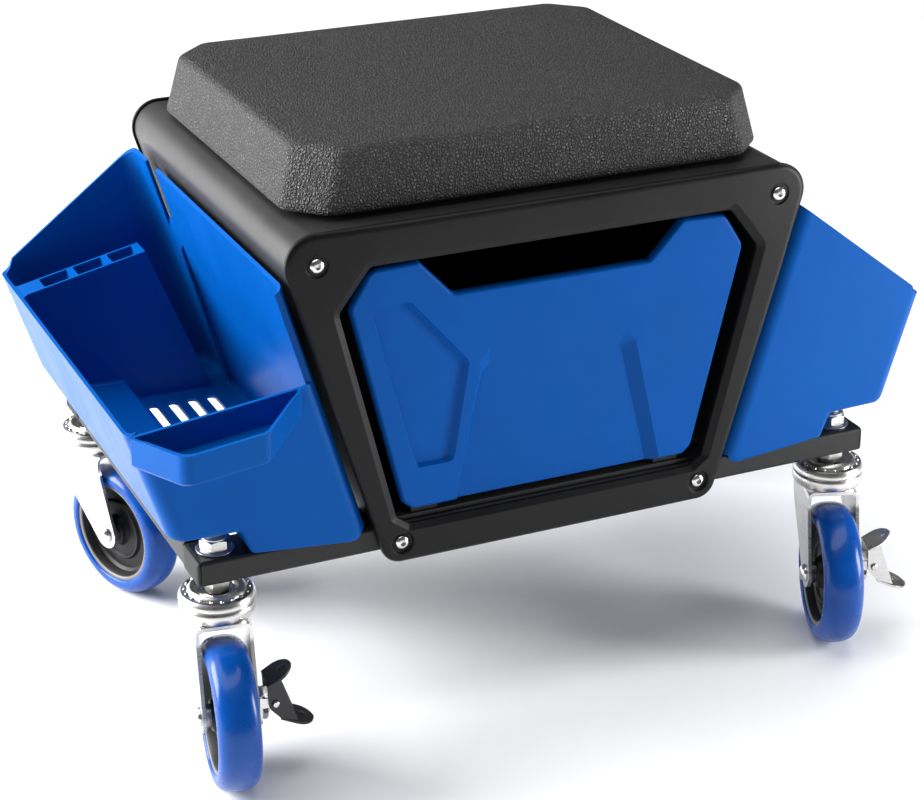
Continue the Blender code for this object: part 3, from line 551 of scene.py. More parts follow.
def bezel_outline(steps=10):
    run = math.hypot(TOP_SCREW[0] - LOW_SCREW[0], TOP_SCREW[1] - LOW_SCREW[1])
    lean = math.degrees(SIDE_SLOPE) + math.degrees(math.asin((TOP_RADIUS - LOW_RADIUS) / run))
    low = arc(LOW_SCREW, LOW_RADIUS, -90, -lean, steps)
    top = arc(TOP_SCREW, TOP_RADIUS, -lean, 90, steps)
    half = [(0.0, low[0][1])] + low + top + [(0.0, top[-1][1])]
    return half + [(-x, z) for x, z in reversed(half[1:-1])]


def window_line(half, radii, steps=5):
    bottom, top = (0.0, half[0][1]), (0.0, half[-1][1])
    points = [bottom] + half + [top] + [(-x, z) for x, z in reversed(half)]
    radii = [0.0] + radii + [0.0] + radii[::-1]
    return rounded(points, radii, steps)


def bezel(name, node, turn):
    """An end frame: rounded edge, sloping band round its window, corner pads that lean back, dished screw seats.
    """
    outer = bezel_outline()
    face = [(0.1050, 0.1500), (0.1172, 0.1588), (0.1542, 0.3083), (0.1300, 0.3400)]
    inner = [(0.1035, 0.1535), (0.1125, 0.1600), (0.1490, 0.3065), (0.1275, 0.3345)]
    band = window_line(face, [0.004, 0.006, 0.009, 0.010])
    hole = window_line(inner, [0.003, 0.004, 0.005, 0.005])
    front, back = -BEZEL_FRONT, -BEZEL_BACK
    shell = [(0.0, back), (0.0, front + 0.0030), (0.0007, front + 0.0015), (0.0020, front + 0.0005)]
    shell.append((0.0042, front))
    bm = bmesh.new()

    def row(points, y):
        return [bm.verts.new((x, y, z)) for x, z in points]

    outer_rows = [row(grown(outer, -inset), y) for inset, y in shell]
    inner_rows = [row(hole, back), row(hole, front + 0.0032)]
    inner_rows += [row(grown(hole, 0.0004), front + 0.0027), row(band, front)]
    skin(bm, outer_rows)
    skin(bm, inner_rows)
    for outside, inside in ((outer_rows[-1], inner_rows[-1]), (outer_rows[0], inner_rows[0])):
        top = [next(i for i, v in enumerate(r) if i and abs(v.co.x) < 1e-6) for r in (outside, inside)]
        bm.faces.new(outside[: top[0] + 1] + inside[: top[1] + 1][::-1])
        bm.faces.new(outside[top[0]:] + [outside[0]] + [inside[0]] + inside[top[1]:][::-1])
    # The corner pads lean back a little beyond a slanting line, as on the moulded frame.
    for sx in (-1, 1):
        point = Vector((sx * 0.1280, 0.0, 0.3440))
        normal = Vector((sx * 0.80, 0.0, 0.60)).normalized()
        parts = bm.verts[:] + bm.edges[:] + bm.faces[:]
        bmesh.ops.bisect_plane(bm, geom=parts, plane_co=point, plane_no=normal)
        for vert in bm.verts:
            beyond = (vert.co - point).dot(normal)
            if beyond > 0 and vert.co.y < front + 0.0020:
                vert.co.y += 0.045 * beyond
    mesh = mesh_of(bm)
    cuts = []
    for x, z in screw_places():
        dish = [(0.0, 0.010), (0.0086, 0.010), (0.0086, 0.0004), (0.0076, -0.0006)]
        dish += [(0.0072, -DISH_DEPTH), (0.0, -DISH_DEPTH)]
        place = at(x, front, z) @ turned(math.pi / 2, "X")
        cuts.append((CUT, moved(lathe(dish, 32), place)))
    mesh = moved(combined(mesh, *cuts), turned(turn, "Z"))
    piece(name, mesh, BLACK_FRAME, "root", node, (0.0005, 2, 28.0), 30.0)


def screw_places():
    return [(sx * x, z) for x, z in (TOP_SCREW, LOW_SCREW) for sx in (-1, 1)]


def screws():
    """Button heads with a hexagon socket."""
    base = BEZEL_FRONT - DISH_DEPTH + GAP
    dome = [(0.0, 0.0024), (0.0018, 0.0024), (0.0030, 0.0022), (0.0040, 0.0016), (0.0046, 0.0009)]
    dome += [(0.0049, 0.0003), (0.0049, 0.0), (0.0029, 0.0), (0.0029, -0.0135), (0.0, -0.0135)]
    for end, side in (("front", -1), ("rear", 1)):
        for x, z in screw_places():
            level = "top" if z == TOP_SCREW[1] else "low"
            hand = "left" if x < 0 else "right"
            phase = 0.3 + x * 7
            socket = lathe([(0.0, 0.0004), (0.0021, 0.0004), (0.0021, 0.0060), (0.0, 0.0060)], 6, phase=phase)
            mesh = combined(lathe(dome, 40), (CUT, socket))
            place = at(x, side * base, z) @ turned(math.pi / 2 * -side, "X")
            name = f"{end}_{level}_{hand}"
            piece("button_screw_" + name, moved(mesh, place), FASTENER, "root", "screw_" + name,
                  SMALL_EDGE)


def rear_panel():
    """The rear panel with a raised field and a pressed rib round it."""
    corners = mirrored([(0.1085, 0.1575), (0.1180, 0.1640), (0.1510, 0.3080), (0.1290, 0.3390)])
    high = BEZEL_BACK - GAP
    field = mirrored([(0.0800, 0.1915), (0.0915, 0.2010), (0.1120, 0.2900), (0.1010, 0.3050)])
    levels = [(corners, 0.0, -SHEET, 0.003), (corners, 0.0, 0.0, 0.003)]
    levels += [(corners, 0.0100, 0.0, 0.004), (corners, 0.0122, 0.0016, 0.004)]
    levels += [(field, 0.0, 0.0016, 0.004), (field, 0.0022, 0.0030, 0.0035)]
    loops = []
    for line, inset, rise, radius in levels:
        outline = rounded(side_moved(line, [inset] * 8), radius, 5)
        loops.append([(x, high + rise, z) for x, z in outline])
    piece("rear_panel_pressed", rings(loops), BLACK_PLASTIC, "root", "rear_panel",
          (0.0005, 2, 30.0))


# -------- drawer


def drawer_front():
    """The drawer face: soft edges, a pentagon on the left and a wide trough that runs out of its foot."""
    half = [
        (0.1000, 0.1612), (0.1065, 0.1672), (0.1405, 0.3070), (0.1260, 0.3305),
        (0.0935, 0.3315), (0.0700, 0.3065),
    ]
    radii = [0.005, 0.005, 0.009, 0.008, 0.0036, 0.005]
    outline = rounded(mirrored(half), radii + radii[::-1], 5)
    face = -DRAWER_FACE - DRAWER_PROUD
    edge = [(0.0, DRAWER_THICK + DRAWER_PROUD), (0.0, 0.0034), (0.0003, 0.0020), (0.0009, 0.0009)]
    edge += [(0.0016, 0.0003), (0.0026, 0.0)]
    plate = rings([[(x, face + y, z) for x, z in grown(outline, -inset)] for inset, y in edge])

    def recess(top_line, floor_line, depth, radii):
        top_line = rounded(top_line, radii, 5)
        floor_line = rounded(floor_line, [r * 0.7 for r in radii], 5)
        loops = [[(x, face - 0.004, z) for x, z in top_line], [(x, face, z) for x, z in top_line]]
        loops.append([(x, face + depth, z) for x, z in floor_line])
        return CUT, rings(loops)

    wing = [(-0.0965, 0.1905), (-0.0705, 0.1905), (-0.0590, 0.2585), (-0.0995, 0.3060), (-0.1272, 0.3050)]
    wing_floor = side_moved(wing, [0.0014, 0.0030, 0.0034, 0.0014, 0.0016])
    trough = [(-0.0700, 0.1560), (0.0830, 0.1560), (0.0610, 0.2530)]
    trough += [(0.0510, 0.2665), (-0.0436, 0.2665), (-0.0513, 0.2590)]
    trough_floor = [(-0.0672, 0.1560), (0.0745, 0.1560), (0.0525, 0.2470)]
    trough_floor += [(0.0440, 0.2520), (-0.0430, 0.2520), (-0.0485, 0.2480)]
    mesh = combined(
        plate,
        recess(wing, wing_floor, 0.0036, [0.003, 0.004, 0.005, 0.005, 0.006]),
        recess(trough, trough_floor, 0.0050, [0.001, 0.001, 0.006, 0.008, 0.005, 0.004]),
    )
    piece("drawer_face", mesh, BLUE_DRAWER, "drawer", "drawer_front", (0.0008, 3, 24.0), 30.0)


def drawer_box():
    """The drawer's tray: soft corners, a thickened rim and three stiffening ribs across its floor."""
    low_y = -DRAWER_FACE + DRAWER_THICK + GAP
    low, high = (-DRAWER_HALF_X, low_y, DRAWER_BOTTOM), (DRAWER_HALF_X, DRAWER_BACK, DRAWER_TOP)

    def loop(inset, z, radius):
        corners = [(low[0] + inset, low[1] + inset), (high[0] - inset, low[1] + inset)]
        corners += [(high[0] - inset, high[1] - inset), (low[0] + inset, high[1] - inset)]
        return [(x, y, z) for x, y in rounded(corners, radius, 5)]

    wall, floor = DRAWER_WALL, DRAWER_BOTTOM + DRAWER_WALL
    loops = [loop(*level) for level in (
        (0.0030, low[2], 0.004), (0.0008, low[2] + 0.0008, 0.006), (0.0006, low[2] + 0.0030, 0.006),
        (0.0006, high[2] - 0.0080, 0.006), (0.0, high[2] - 0.0070, 0.006), (0.0, high[2] - 0.0006, 0.006),
        (0.0006, high[2], 0.006), (wall - 0.0004, high[2], 0.004), (wall + 0.0002, high[2] - 0.0006, 0.004),
        (wall + 0.0002, floor + 0.0040, 0.004), (wall + 0.0014, floor + 0.0012, 0.004),
        (wall + 0.0042, floor, 0.004),
    )]
    tray = rings(loops)
    ribs = []
    for y in (-0.08, -0.01, 0.06):
        ribs.append(block((-0.080, y - 0.0012, floor - 0.0006), (0.080, y + 0.0012, floor + 0.0012), 0.0005, 2))
    mesh = joined(tray, *ribs)
    piece("drawer_tray", mesh, BLACK_PLASTIC, "drawer", "drawer_box", smooth=40.0)


# -------- side bins


def rim_z(x):
    return BIN_RIM_Z + RIM_CLIMB * (BIN_RIM_X - x)


def bin_section(low_z):
    """The bin's section in XZ. Its sides in turn are outer, low outer, step, floor, inner and open top."""
    return [
        (BIN_RIM_X, BIN_RIM_Z), (0.2620, 0.1710), (0.2165, 0.1700), (0.2100, BAR_TOP + GAP),
        (side_x(low_z) + BIN_CLEAR, low_z), (side_x(BIN_INNER_Z) + BIN_CLEAR, BIN_INNER_Z),
    ]


def eased(radius, depth):
    """How far a side has moved in at a depth from an end that is rounded to radius."""
    if depth >= radius:
        return 0.0
    return radius - math.sqrt(radius * radius - (radius - depth) ** 2)


def bin_solid(section, corner_radii, low_y, high_y, low_ends, high_ends):
    """A prism along Y whose end edges are rounded, each side with its own radius at each end."""
    steps = (0.0, 0.0003, 0.0009, 0.0018, 0.0031, 0.0048, 0.0070, 0.0096, 0.0130)
    loops = []
    for depth in steps:
        flat = side_moved(section, [eased(radius, depth) for radius in low_ends])
        loops.append([(x, low_y + depth, z) for x, z in rounded(flat, corner_radii, 5)])
    for depth in reversed(steps):
        flat = side_moved(section, [eased(radius, depth) for radius in high_ends])
        loops.append([(x, high_y - depth, z) for x, z in rounded(flat, corner_radii, 5)])
    return rings(loops)


def bin_room():
    """The room inside the walls in XZ, run on upwards past the rims."""
    inside = [Vector(point) for point in side_moved(bin_section(BAR_TOP + GAP), [BIN_WALL] * 6)]
    top = 0.40
    for first, second in ((0, 1), (-1, -2)):
        along = inside[first] - inside[second]
        inside[first] = inside[second] + along * ((top - inside[second].y) / along.y)
    return [tuple(point) for point in inside]


def pocket_plan(inset, start):
    reach = BIN_END + POCKET_DEPTH - 0.007 - inset
    return [
        (0.2852 - inset, start), (0.2655 - inset, reach), (0.2120 + inset / 2, reach), (0.1735 + inset, start),
    ]


def pocket_block(levels, inset, start):
    loops = []
    for below, more in levels:
        plan = rounded(pocket_plan(inset + more, start), [0.001, 0.010, 0.008, 0.001], 6)
        loops.append([(x, y, rim_z(x) - below) for x, y in plan])
    return rings(loops)


def bin_mesh():
    """The right bin: rounded shell, partition with tool slots, end pocket and drain slots."""
    ends = (0.0115, 0.005, 0.004, 0.003, 0.0105, 0.0)
    corner_radii = [0.0, 0.007, 0.004, 0.003, 0.007, 0.0]
    solid = bin_solid(bin_section(SKIRT_Z), corner_radii, -BIN_END, BIN_END, ends, ends)
    under = block((0.10, -BASE_HALF_Y - GAP, 0.130), (0.2095, BASE_HALF_Y + GAP, BAR_TOP + GAP))
    drop, room_drop = POCKET_DROP, POCKET_DROP - BIN_WALL
    outer_levels = ((drop, 0.0034), (drop - 0.0010, 0.0012), (drop - 0.0030, 0.0), (0.0, 0.0))
    inner_levels = ((room_drop, 0.0024), (room_drop - 0.0012, 0.0006), (room_drop - 0.003, 0.0), (-0.05, 0.0))
    steps = [
        (CUT, under), (ADD, pocket_block(outer_levels, 0.0, BIN_END - 0.001)),
        (CUT, pocket_block(inner_levels, BIN_WALL, BIN_END + GAP)),
    ]
    room = bin_room()
    corner_radii = [0.0, 0.005, 0.004, 0.003, 0.005, 0.0]
    plain_end = (0.0125, 0.004, 0.003, 0.003, 0.0125, 0.0)
    pocket_end = (0.0095, 0.004, 0.003, 0.003, 0.0085, 0.0)
    at_partition = (0.004, 0.003, 0.002, 0.002, 0.004, 0.0)
    far, near = PARTITION
    for low_y, high_y, low_ends, high_ends in (
        (-BIN_END + BIN_WALL, far, plain_end, at_partition),
        (near, BIN_END - BIN_WALL, at_partition, pocket_end),
    ):
        steps.append((CUT, bin_solid(room, corner_radii, low_y, high_y, low_ends, high_ends)))
    # The partition stops short of the inner wall, and its top climbs faster than the low rims.
    tip_x, tip_z = PARTITION_TIP
    lean = (tip_x - PARTITION_FOOT[0]) / (tip_z - PARTITION_FOOT[1])
    passage = [room[4], (PARTITION_FOOT[0], room[4][1]), (tip_x + lean * (0.40 - tip_z), 0.40), room[5]]
    steps.append((CUT, prism(rounded(passage, [0.005, 0.004, 0.0, 0.0], 4), far - 0.003, near + 0.003)))
    outer_x, wall = BIN_RIM_X + 0.02, BIN_WALL / math.cos(SIDE_SLOPE)
    wall_x, wall_top = (side_x(z) + BIN_CLEAR + wall for z in (rim_z(0.18), 0.40))
    low_rim = [(outer_x, rim_z(outer_x)), (outer_x, 0.40), (wall_top, 0.40), (wall_x, rim_z(wall_x))]
    shelf = [
        (outer_x, rim_z(BIN_RIM_X) - PARTITION_CLIMB * 0.02), (outer_x, 0.40), (0.17, 0.40),
        (0.17, rim_z(BIN_RIM_X) + PARTITION_CLIMB * (BIN_RIM_X - 0.17)),
    ]
    ramp_x = 0.2765
    ramp_z = BIN_RIM_Z + (BIN_RIM_X - ramp_x) * 0.80
    outer_rim = [(outer_x, rim_z(outer_x)), (outer_x, ramp_z + 0.01)]
    outer_rim += [(ramp_x - 0.004, ramp_z + 0.01), (0.28, rim_z(0.28))]
    for outline, low, high in (
        (shelf, far - 0.001, near + 0.001), (low_rim, BIN_END - BIN_WALL - 0.001, BIN_END + 0.01),
        (rounded(outer_rim, [0, 0, 0, 0.006], 4), -BIN_END - 0.01, BIN_END + 0.01),
    ):
        steps.append((CUT, prism([(x, z - 0.0005) for x, z in outline], low, high)))
    for low, high in TOOL_SLOTS:
        steps.append((CUT, block((low, far + 0.0020, 0.200), (high, near - 0.0020, 0.40), 0.0015, 2)))
    # The guide rib on the inner wall beside the partition's free end.
    rib = ((0.158, -0.001), (0.158, 0.0022), (0.266, 0.0022), (0.272, -0.001))
    rib = [(side_x(z) + BIN_CLEAR + wall + out, z) for z, out in rib]
    steps.append((ADD, prism(rib, near - 0.0004, near + 0.0014)))
    for k in range(4):
        x = 0.1570 + 0.0145 * k
        for low, high in ((-0.085, -0.005), (0.015, 0.095)):
            plan = [(x - 0.0035, low), (x + 0.0035, low), (x + 0.0035, high), (x - 0.0035, high)]
            plan = rounded(plan, 0.003, 3)
            steps.append((CUT, prism(plan, 0.150, 0.170, "Z")))
    return combined(solid, *steps)


def side_bins():
    mesh = bin_mesh()
    for hand, turn in (("right", 0.0), ("left", math.pi)):
        made = moved(mesh.copy(), turned(turn, "Z"))
        piece(f"bin_{hand}", made, BLUE_BIN, "root", f"side_bin_{hand}", (0.0006, 2, 38.0), 32.0)


# -------- base and casters


def bar_section(low, high, inset, radius, steps=4):
    """A base tube's section between low and high, moved in all round."""
    sides = (low + inset, high - inset)
    bottom, top = BAR_BOTTOM + inset, BAR_TOP - inset
    return rounded([(sides[0], bottom), (sides[1], bottom), (sides[1], top), (sides[0], top)], radius, steps)


def base_frame():
    """Flat tube with rolled corners, and the plugs in its open ends."""
    roll, wall, reach = 0.0028, 0.0018, BASE_HALF_X - 0.0015
    plug = ((0.2370, 0.0022), (0.24385, 0.0022), (0.24386, 0.0), (0.2447, 0.0002), (0.2454, 0.0010),
            (0.2458, 0.0024), (0.2460, 0.0050))
    softened = (0.0003, 2, 50.0)
    for end, sy in (("front", -1), ("rear", 1)):
        y = sorted((sy * BASE_HALF_Y, sy * (BASE_HALF_Y - BAR_WIDTH)))
        hollow = prism(bar_section(*y, wall, 0.0012, 3), -reach - 0.01, reach + 0.01, "X")
        cuts = [(CUT, hollow)]
        for sx in (-1, 1):
            x, stem_y = sx * STEM_X, sy * STEM_Y
            cuts.append((CUT, rod(0.0062, (x, stem_y, 0.12), (x, stem_y, 0.17))))
        mesh = combined(prism(bar_section(*y, 0.0, roll), -reach, reach, "X"), *cuts)
        piece(f"frame_bar_{end}", mesh, BLACK_PAINT, "root", f"base_bar_{end}", softened)
        for hand, sx in (("left", -1), ("right", 1)):
            loops = []
            for x, inset in plug:
                section = bar_section(*y, inset, max(0.0012, roll - inset / 2))
                loops.append([(sx * x, a, b) for a, b in section])
            piece(f"plug_{end}_{hand}", rings(loops), BLACK_PLASTIC, "root", f"end_plug_{end}_{hand}",
                  smooth=40.0)
    reach = BASE_HALF_Y - BAR_WIDTH - GAP
    for hand, sx in (("left", -1), ("right", 1)):
        x = sorted((sx * BASE_HALF_X, sx * (BASE_HALF_X - BAR_WIDTH)))
        mesh = prism(bar_section(*x, 0.0, roll), -reach, reach)
        piece(f"frame_bar_{hand}", mesh, BLACK_PAINT, "root", f"base_bar_{hand}", softened)


def swivel_matrix(name):
    sx, sy, angle = CASTERS[name]
    return at(sx * STEM_X, sy * STEM_Y, 0.0) @ turned(math.radians(angle), "Z")


def axle_matrix(name):
    return swivel_matrix(name) @ at(CASTER_TRAIL, 0.0, WHEEL_RADIUS) @ turned(math.pi / 2, "X")


def stems_and_nuts(name):
    sx, sy, _ = CASTERS[name]
    place = at(sx * STEM_X, sy * STEM_Y, 0.0)
    shank, low = 0.0060, BAR_BOTTOM - GAP
    thread = [(0.0, STEM_TOP), (0.0044, STEM_TOP), (0.0050, STEM_TOP - 0.0005)]
    z = STEM_TOP - 0.0008
    while z > BAR_TOP + 0.009:
        thread += [(0.0058, z), (0.0058, z - 0.0002), (0.0051, z - 0.0006), (0.0051, z - 0.0008)]
        z -= 0.0012
    thread += [(0.0056, z), (0.0056, low - 0.0006), (0.0078, low - 0.0006), (0.0078, HEAD_TOP - 0.0025)]
    thread += [(0.0055, HEAD_TOP - 0.0025), (0.0055, BRIDGE_LOW + 0.0006), (0.0, BRIDGE_LOW + 0.0006)]
    collar = nut_mesh(0.0092, HEAD_TOP + 0.0010, low, 0.0)
    washer = ((shank, -0.0001), (0.0118, -0.0001), (0.0120, -0.0004), (0.0118, -0.0012), (shank, -0.0012))
    washer = lathe([(r, low + z) for r, z in washer], 40, True)
    stem = joined(lathe(thread, 40), collar, washer)
    piece(f"stem_threaded_{name}", moved(stem, place), ZINC, "root", f"stem_{name}", SMALL_EDGE)
    base = BAR_TOP + GAP
    flange = ((shank, 0.0), (0.0122, 0.0), (0.0124, 0.0006), (0.0112, 0.0014), (shank, 0.0014))
    collar = ((shank, 0.0080), (0.0086, 0.0080), (0.0084, 0.0094), (0.0074, 0.0102), (shank, 0.0102))
    flange, collar = (lathe([(r, base + z) for r, z in profile], 40, True) for profile in (flange, collar))
    body = nut_mesh(0.0089, base + 0.0014, base + 0.0085, shank)
    nut = moved(joined(flange, body, collar), place)
    piece(f"flange_nut_{name}", nut, ZINC, "root", f"lock_nut_{name}", SMALL_EDGE)


def fork(name):
    """The pressed fork: a head of two ball races over legs with rounded shoulders."""
    top = HEAD_TOP
    # The head's outline as (radius, drop below its top).
    head = (
        (0.0060, 0.0034), (0.0092, 0.0034), (0.0104, 0.0026), (0.0118, 0.0026), (0.0134, 0.0006), (0.0150, 0.0),
        (0.0172, 0.0), (0.0188, 0.0010), (0.0196, 0.0026), (0.0206, 0.0028), (0.0216, 0.0022), (0.0232, 0.0026),
        (0.0245, 0.0042), (0.0250, 0.0062), (0.0250, 0.0076), (0.0243, 0.0086), (0.0236, 0.0090), (0.0242, 0.0096),
        (0.0249, 0.0108), (0.0250, 0.0130), (0.0246, 0.0160), (0.0236, 0.0178), (0.0212, 0.0186), (0.0060, 0.0186),
    )
    solid = lathe([(radius, top - drop) for radius, drop in head], 64, True)
    edge_x = 0.0238
    side = [(-edge_x, BRIDGE_LOW + 0.0040), (-edge_x, 0.0930)]
    side += arc((CASTER_TRAIL, WHEEL_RADIUS), LEG_ROUND, 222.0, 377.0, 16)
    side += [(edge_x, 0.1000), (edge_x, BRIDGE_LOW + 0.0040)]
    outline = rounded(side, [0.0, 0.028] + [0.0] * 17 + [0.020, 0.0], 8)
    reach, foot, bend = LEG_GAP + LEG_THICK, 0.030, 0.0050
    strip = [(-reach, foot), (-reach, BRIDGE_LOW + LEG_THICK), (reach, BRIDGE_LOW + LEG_THICK), (reach, foot)]
    strip += [(LEG_GAP, foot), (LEG_GAP, BRIDGE_LOW), (-LEG_GAP, BRIDGE_LOW), (-LEG_GAP, foot)]
    profile = rounded(strip, [0, bend, bend, 0, 0, bend - LEG_THICK, bend - LEG_THICK, 0], 5)
    channel = prism(profile, -edge_x - 0.002, edge_x + 0.020, "X")
    legs = combined(channel, ("INTERSECT", prism(outline, -0.04, 0.04)))
    across = [(CASTER_TRAIL, s * 0.03, WHEEL_RADIUS) for s in (-1, 1)]
    steps = [(ADD, legs), (CUT, rod(0.0043, *across))]
    mesh = moved(combined(solid, *steps), swivel_matrix(name))
    piece(f"fork_pressed_{name}", mesh, POLISHED, f"caster_{name}", f"fork_{name}",
          (0.0005, 2, 34.0), 32.0)
    balls, count, ball, ring = [], 18, 0.00125, 0.0203
    turns = [math.radians(a) for a in range(0, 181, 30)]
    profile = [(ball * math.sin(a), ball * math.cos(a)) for a in turns]
    for k in range(count):
        angle = 2 * math.pi * k / count
        place = at(ring * math.cos(angle), ring * math.sin(angle), top - 0.0024)
        balls.append(moved(lathe(profile, 10), place))
    piece(f"race_balls_{name}", moved(joined(*balls), swivel_matrix(name)), FASTENER, f"caster_{name}", None,
          smooth=80.0)


def axle(name):
    leg = LEG_GAP + LEG_THICK + GAP
    nut = leg + (SHEET_THIN + GAP if name in BRAKED else 0.0)
    pin = 0.0040
    near, far, spacer = HUB_HALF + GAP, LEG_GAP - GAP, 0.0078
    head = ((0.0, 0.0036), (0.0024, 0.0035), (0.0044, 0.0029), (0.0058, 0.0018), (0.0064, 0.0006), (0.0064, 0.0))
    bolt = [(radius, leg + rise) for radius, rise in head] + [
        (pin, leg), (pin, far), (spacer, far), (spacer, near), (pin, near),
        (pin, -near), (spacer, -near), (spacer, -far), (pin, -far),
        (pin, -nut - 0.0046), (0.0034, -nut - 0.0052), (0.0, -nut - 0.0052),
    ]
    hexagon = moved(nut_mesh(0.0062, 0.0, 0.0038, pin), at(0, 0, -nut - 0.0040))
    mesh = moved(joined(lathe(bolt, 40), hexagon), axle_matrix(name))
    piece(f"axle_bolt_{name}", mesh, FASTENER, f"caster_{name}", f"axle_{name}", SMALL_EDGE)


def wheel(name):
    """A dished nylon core with its hub and ridge, a pale rim band, and a round-shouldered cast tyre."""
    place = axle_matrix(name)
    face = [
        (0.0046, HUB_HALF), (0.0096, HUB_HALF), (0.0106, 0.0108), (0.0112, 0.0080), (0.0124, 0.0066),
        (0.0196, 0.0058), (0.0208, 0.0074), (0.0224, 0.0074), (0.0238, 0.0052), (0.0310, 0.0046),
        (0.0332, 0.0060), (0.0346, 0.0104), (0.0354, 0.0114), (0.0374, 0.0114),
    ]
    core = moved(lathe(face + [(r, -z) for r, z in face[::-1]], 72, True), place)
    piece(f"core_dished_{name}", core, CORE_BLACK, f"wheel_{name}", f"wheel_core_{name}",
          smooth=30.0)
    band = ((0.0354, 0.0108), (0.0355, 0.0119), (0.0362, 0.0124))
    band += ((0.0380, 0.0125), (0.0388, 0.0121), (0.0388, 0.0108))
    bands = moved(joined(*(lathe([(r, z * side) for r, z in band], 72, True) for side in (1, -1))), place)
    piece(f"rim_band_{name}", bands, RIM_GREY, f"wheel_{name}", None, smooth=30.0)
    crown = []
    for k in range(25):
        share = math.sin(math.radians(-90 + 7.5 * k))
        rise = (1 - abs(share) ** 2.4) ** 0.48
        crown.append((0.0405 + 0.0095 * rise, TYRE_HALF * share))
    side = [(0.0378, -0.0120), (0.0384, -0.0134), (0.0394, -0.0139)]
    tread = side + crown + [(r, -z) for r, z in side[::-1]]
    piece(f"tyre_cast_{name}", moved(lathe(tread, 96, True), place), TYRE_BLUE, f"wheel_{name}", f"tyre_{name}",
          smooth=50.0)


def brake(name):
    """The folded bracket, and the rocker over its ears: two cheeks with a rounded treadle above and below."""
    swivel = swivel_matrix(name)
    low_y, ear_y = LEG_GAP + LEG_THICK + GAP, BRAKE_Y + 0.0030
    low_z, high_z = 0.0405, BRAKE_Z + 0.0050
    corners = [(-EAR_X, low_z), (EAR_X, low_z), (EAR_X, high_z), (-EAR_X, high_z)]
    corners = [(CASTER_TRAIL + x, z) for x, z in corners]
    plate = prism(rounded(corners, [0.0060, 0.0060, 0.0012, 0.0012], 5), low_y, low_y + SHEET_THIN)
    steps = []
    for sx in (-1, 1):
        low_x, high_x = sorted((CASTER_TRAIL + sx * EAR_X, CASTER_TRAIL + sx * (EAR_X - SHEET_THIN)))
        low, high = BRAKE_Z - 0.0035, BRAKE_Z + 0.0035
        ear = [(low_y + 0.0005, low), (ear_y, low), (ear_y, high), (low_y + 0.0005, high)]
        steps.append((ADD, prism(rounded(ear, [0.0, 0.0028, 0.0028, 0.0], 5), low_x, high_x, "X")))
    ends = [(CASTER_TRAIL + sx * (CHEEK_X + 0.0006), BRAKE_Y, BRAKE_Z) for sx in (-1, 1)]
    steps.append((ADD, rod(0.0014, *ends, 20)))
    head = [(0.0, 0.0), (0.0024, 0.0), (0.0024, 0.0005), (0.0016, 0.0012), (0.0, 0.0013)]
    for sx in (-1, 1):
        place = at(CASTER_TRAIL + sx * (CHEEK_X + 0.0004), BRAKE_Y, BRAKE_Z)
        steps.append((ADD, moved(lathe(head, 20), place @ turned(sx * math.pi / 2, "Y"))))
    hole = [(CASTER_TRAIL, low_y + out, WHEEL_RADIUS) for out in (-0.01, 0.01)]
    steps.append((CUT, rod(0.0043, *hole)))
    plate = moved(combined(plate, *steps), swivel)
    piece(f"brake_plate_{name}", plate, POLISHED, f"caster_{name}", f"brake_bracket_{name}",
          SMALL_EDGE)
    cheek = rounded([
        (-0.0050, 0.0128), (0.0036, 0.0170), (0.0060, 0.0100), (0.0150, -0.0158), (0.0034, -0.0112),
        (-0.0040, -0.0030),
    ], [0.0010, 0.0010, 0.0060, 0.0010, 0.0010, 0.0050], 4)
    inner_x = CHEEK_X - SHEET_THIN
    steps = [(CUT, block((-inner_x, -0.02, -0.03), (inner_x, 0.03, 0.03)))]
    half_tip = CHEEK_X + 0.0026
    treadles = ((-0.0050, 0.0124, 28.0, 0.0200, 0.0006), (0.0034, -0.0116, -22.0, 0.0240, 0.0010))
    for root_y, root_z, slope, reach, curl in treadles:
        outline = [(-CHEEK_X, 0.0), (CHEEK_X, 0.0), (half_tip, reach), (-half_tip, reach)]
        outline = rounded(outline, [0, 0, 0.0118, 0.0118], 8)
        loops = []
        for z, inset in ((-0.0009, 0.0004), (-0.0006, 0.0), (0.0006, 0.0), (0.0009, 0.0004)):
            loops.append([(x, y, z + curl * (y / reach) ** 2) for x, y in grown(outline, -inset)])
        tilt = at(0.0, root_y, root_z) @ turned(math.radians(slope), "X")
        steps.append((ADD, moved(rings(loops), tilt)))
        # A small raised disc near the tip, where the treadle is pressed.
        disc = lathe([(0.0, -0.0002), (0.0030, -0.0002), (0.0030, 0.0003), (0.0024, 0.0006), (0.0, 0.0006)], 24)
        steps.append((ADD, moved(disc, tilt @ at(0.0, reach * 0.66, 0.0009 + curl * 0.4))))
    steps.append((CUT, rod(0.0018, (-0.03, 0, 0), (0.03, 0, 0), 20)))
    place = swivel @ at(CASTER_TRAIL, BRAKE_Y, BRAKE_Z)
    dark = name == "front_left"
    lever = combined(prism(cheek, -CHEEK_X, CHEEK_X, "X"), *steps)
    piece(f"brake_rocker_{name}", moved(lever, place), BLACK_LEVER if dark else POLISHED, f"brake_{name}",
          f"brake_lever_{name}", (0.0003, 2, 34.0), 32.0)


def kept_nodes():
    """CAD nodes whose shape stays: a real material and softened edges."""
    paints = {
        "seat_board": (BLACK_PLASTIC, 0.0004), "body_floor": (BLACK_SHELL, 0.0004),
        "tie_rod_left": (ZINC, 0.0), "tie_rod_right": (ZINC, 0.0),
        "drawer_runner_left": (BLACK_PAINT, 0.0003), "drawer_runner_right": (BLACK_PAINT, 0.0003),
    }
    for node, (paint, width) in paints.items():
        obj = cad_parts[node]
        obj.data.materials.clear()
        obj.data.materials.append(paint)
        if width:
            bevelled(obj, width, 2, 40.0)


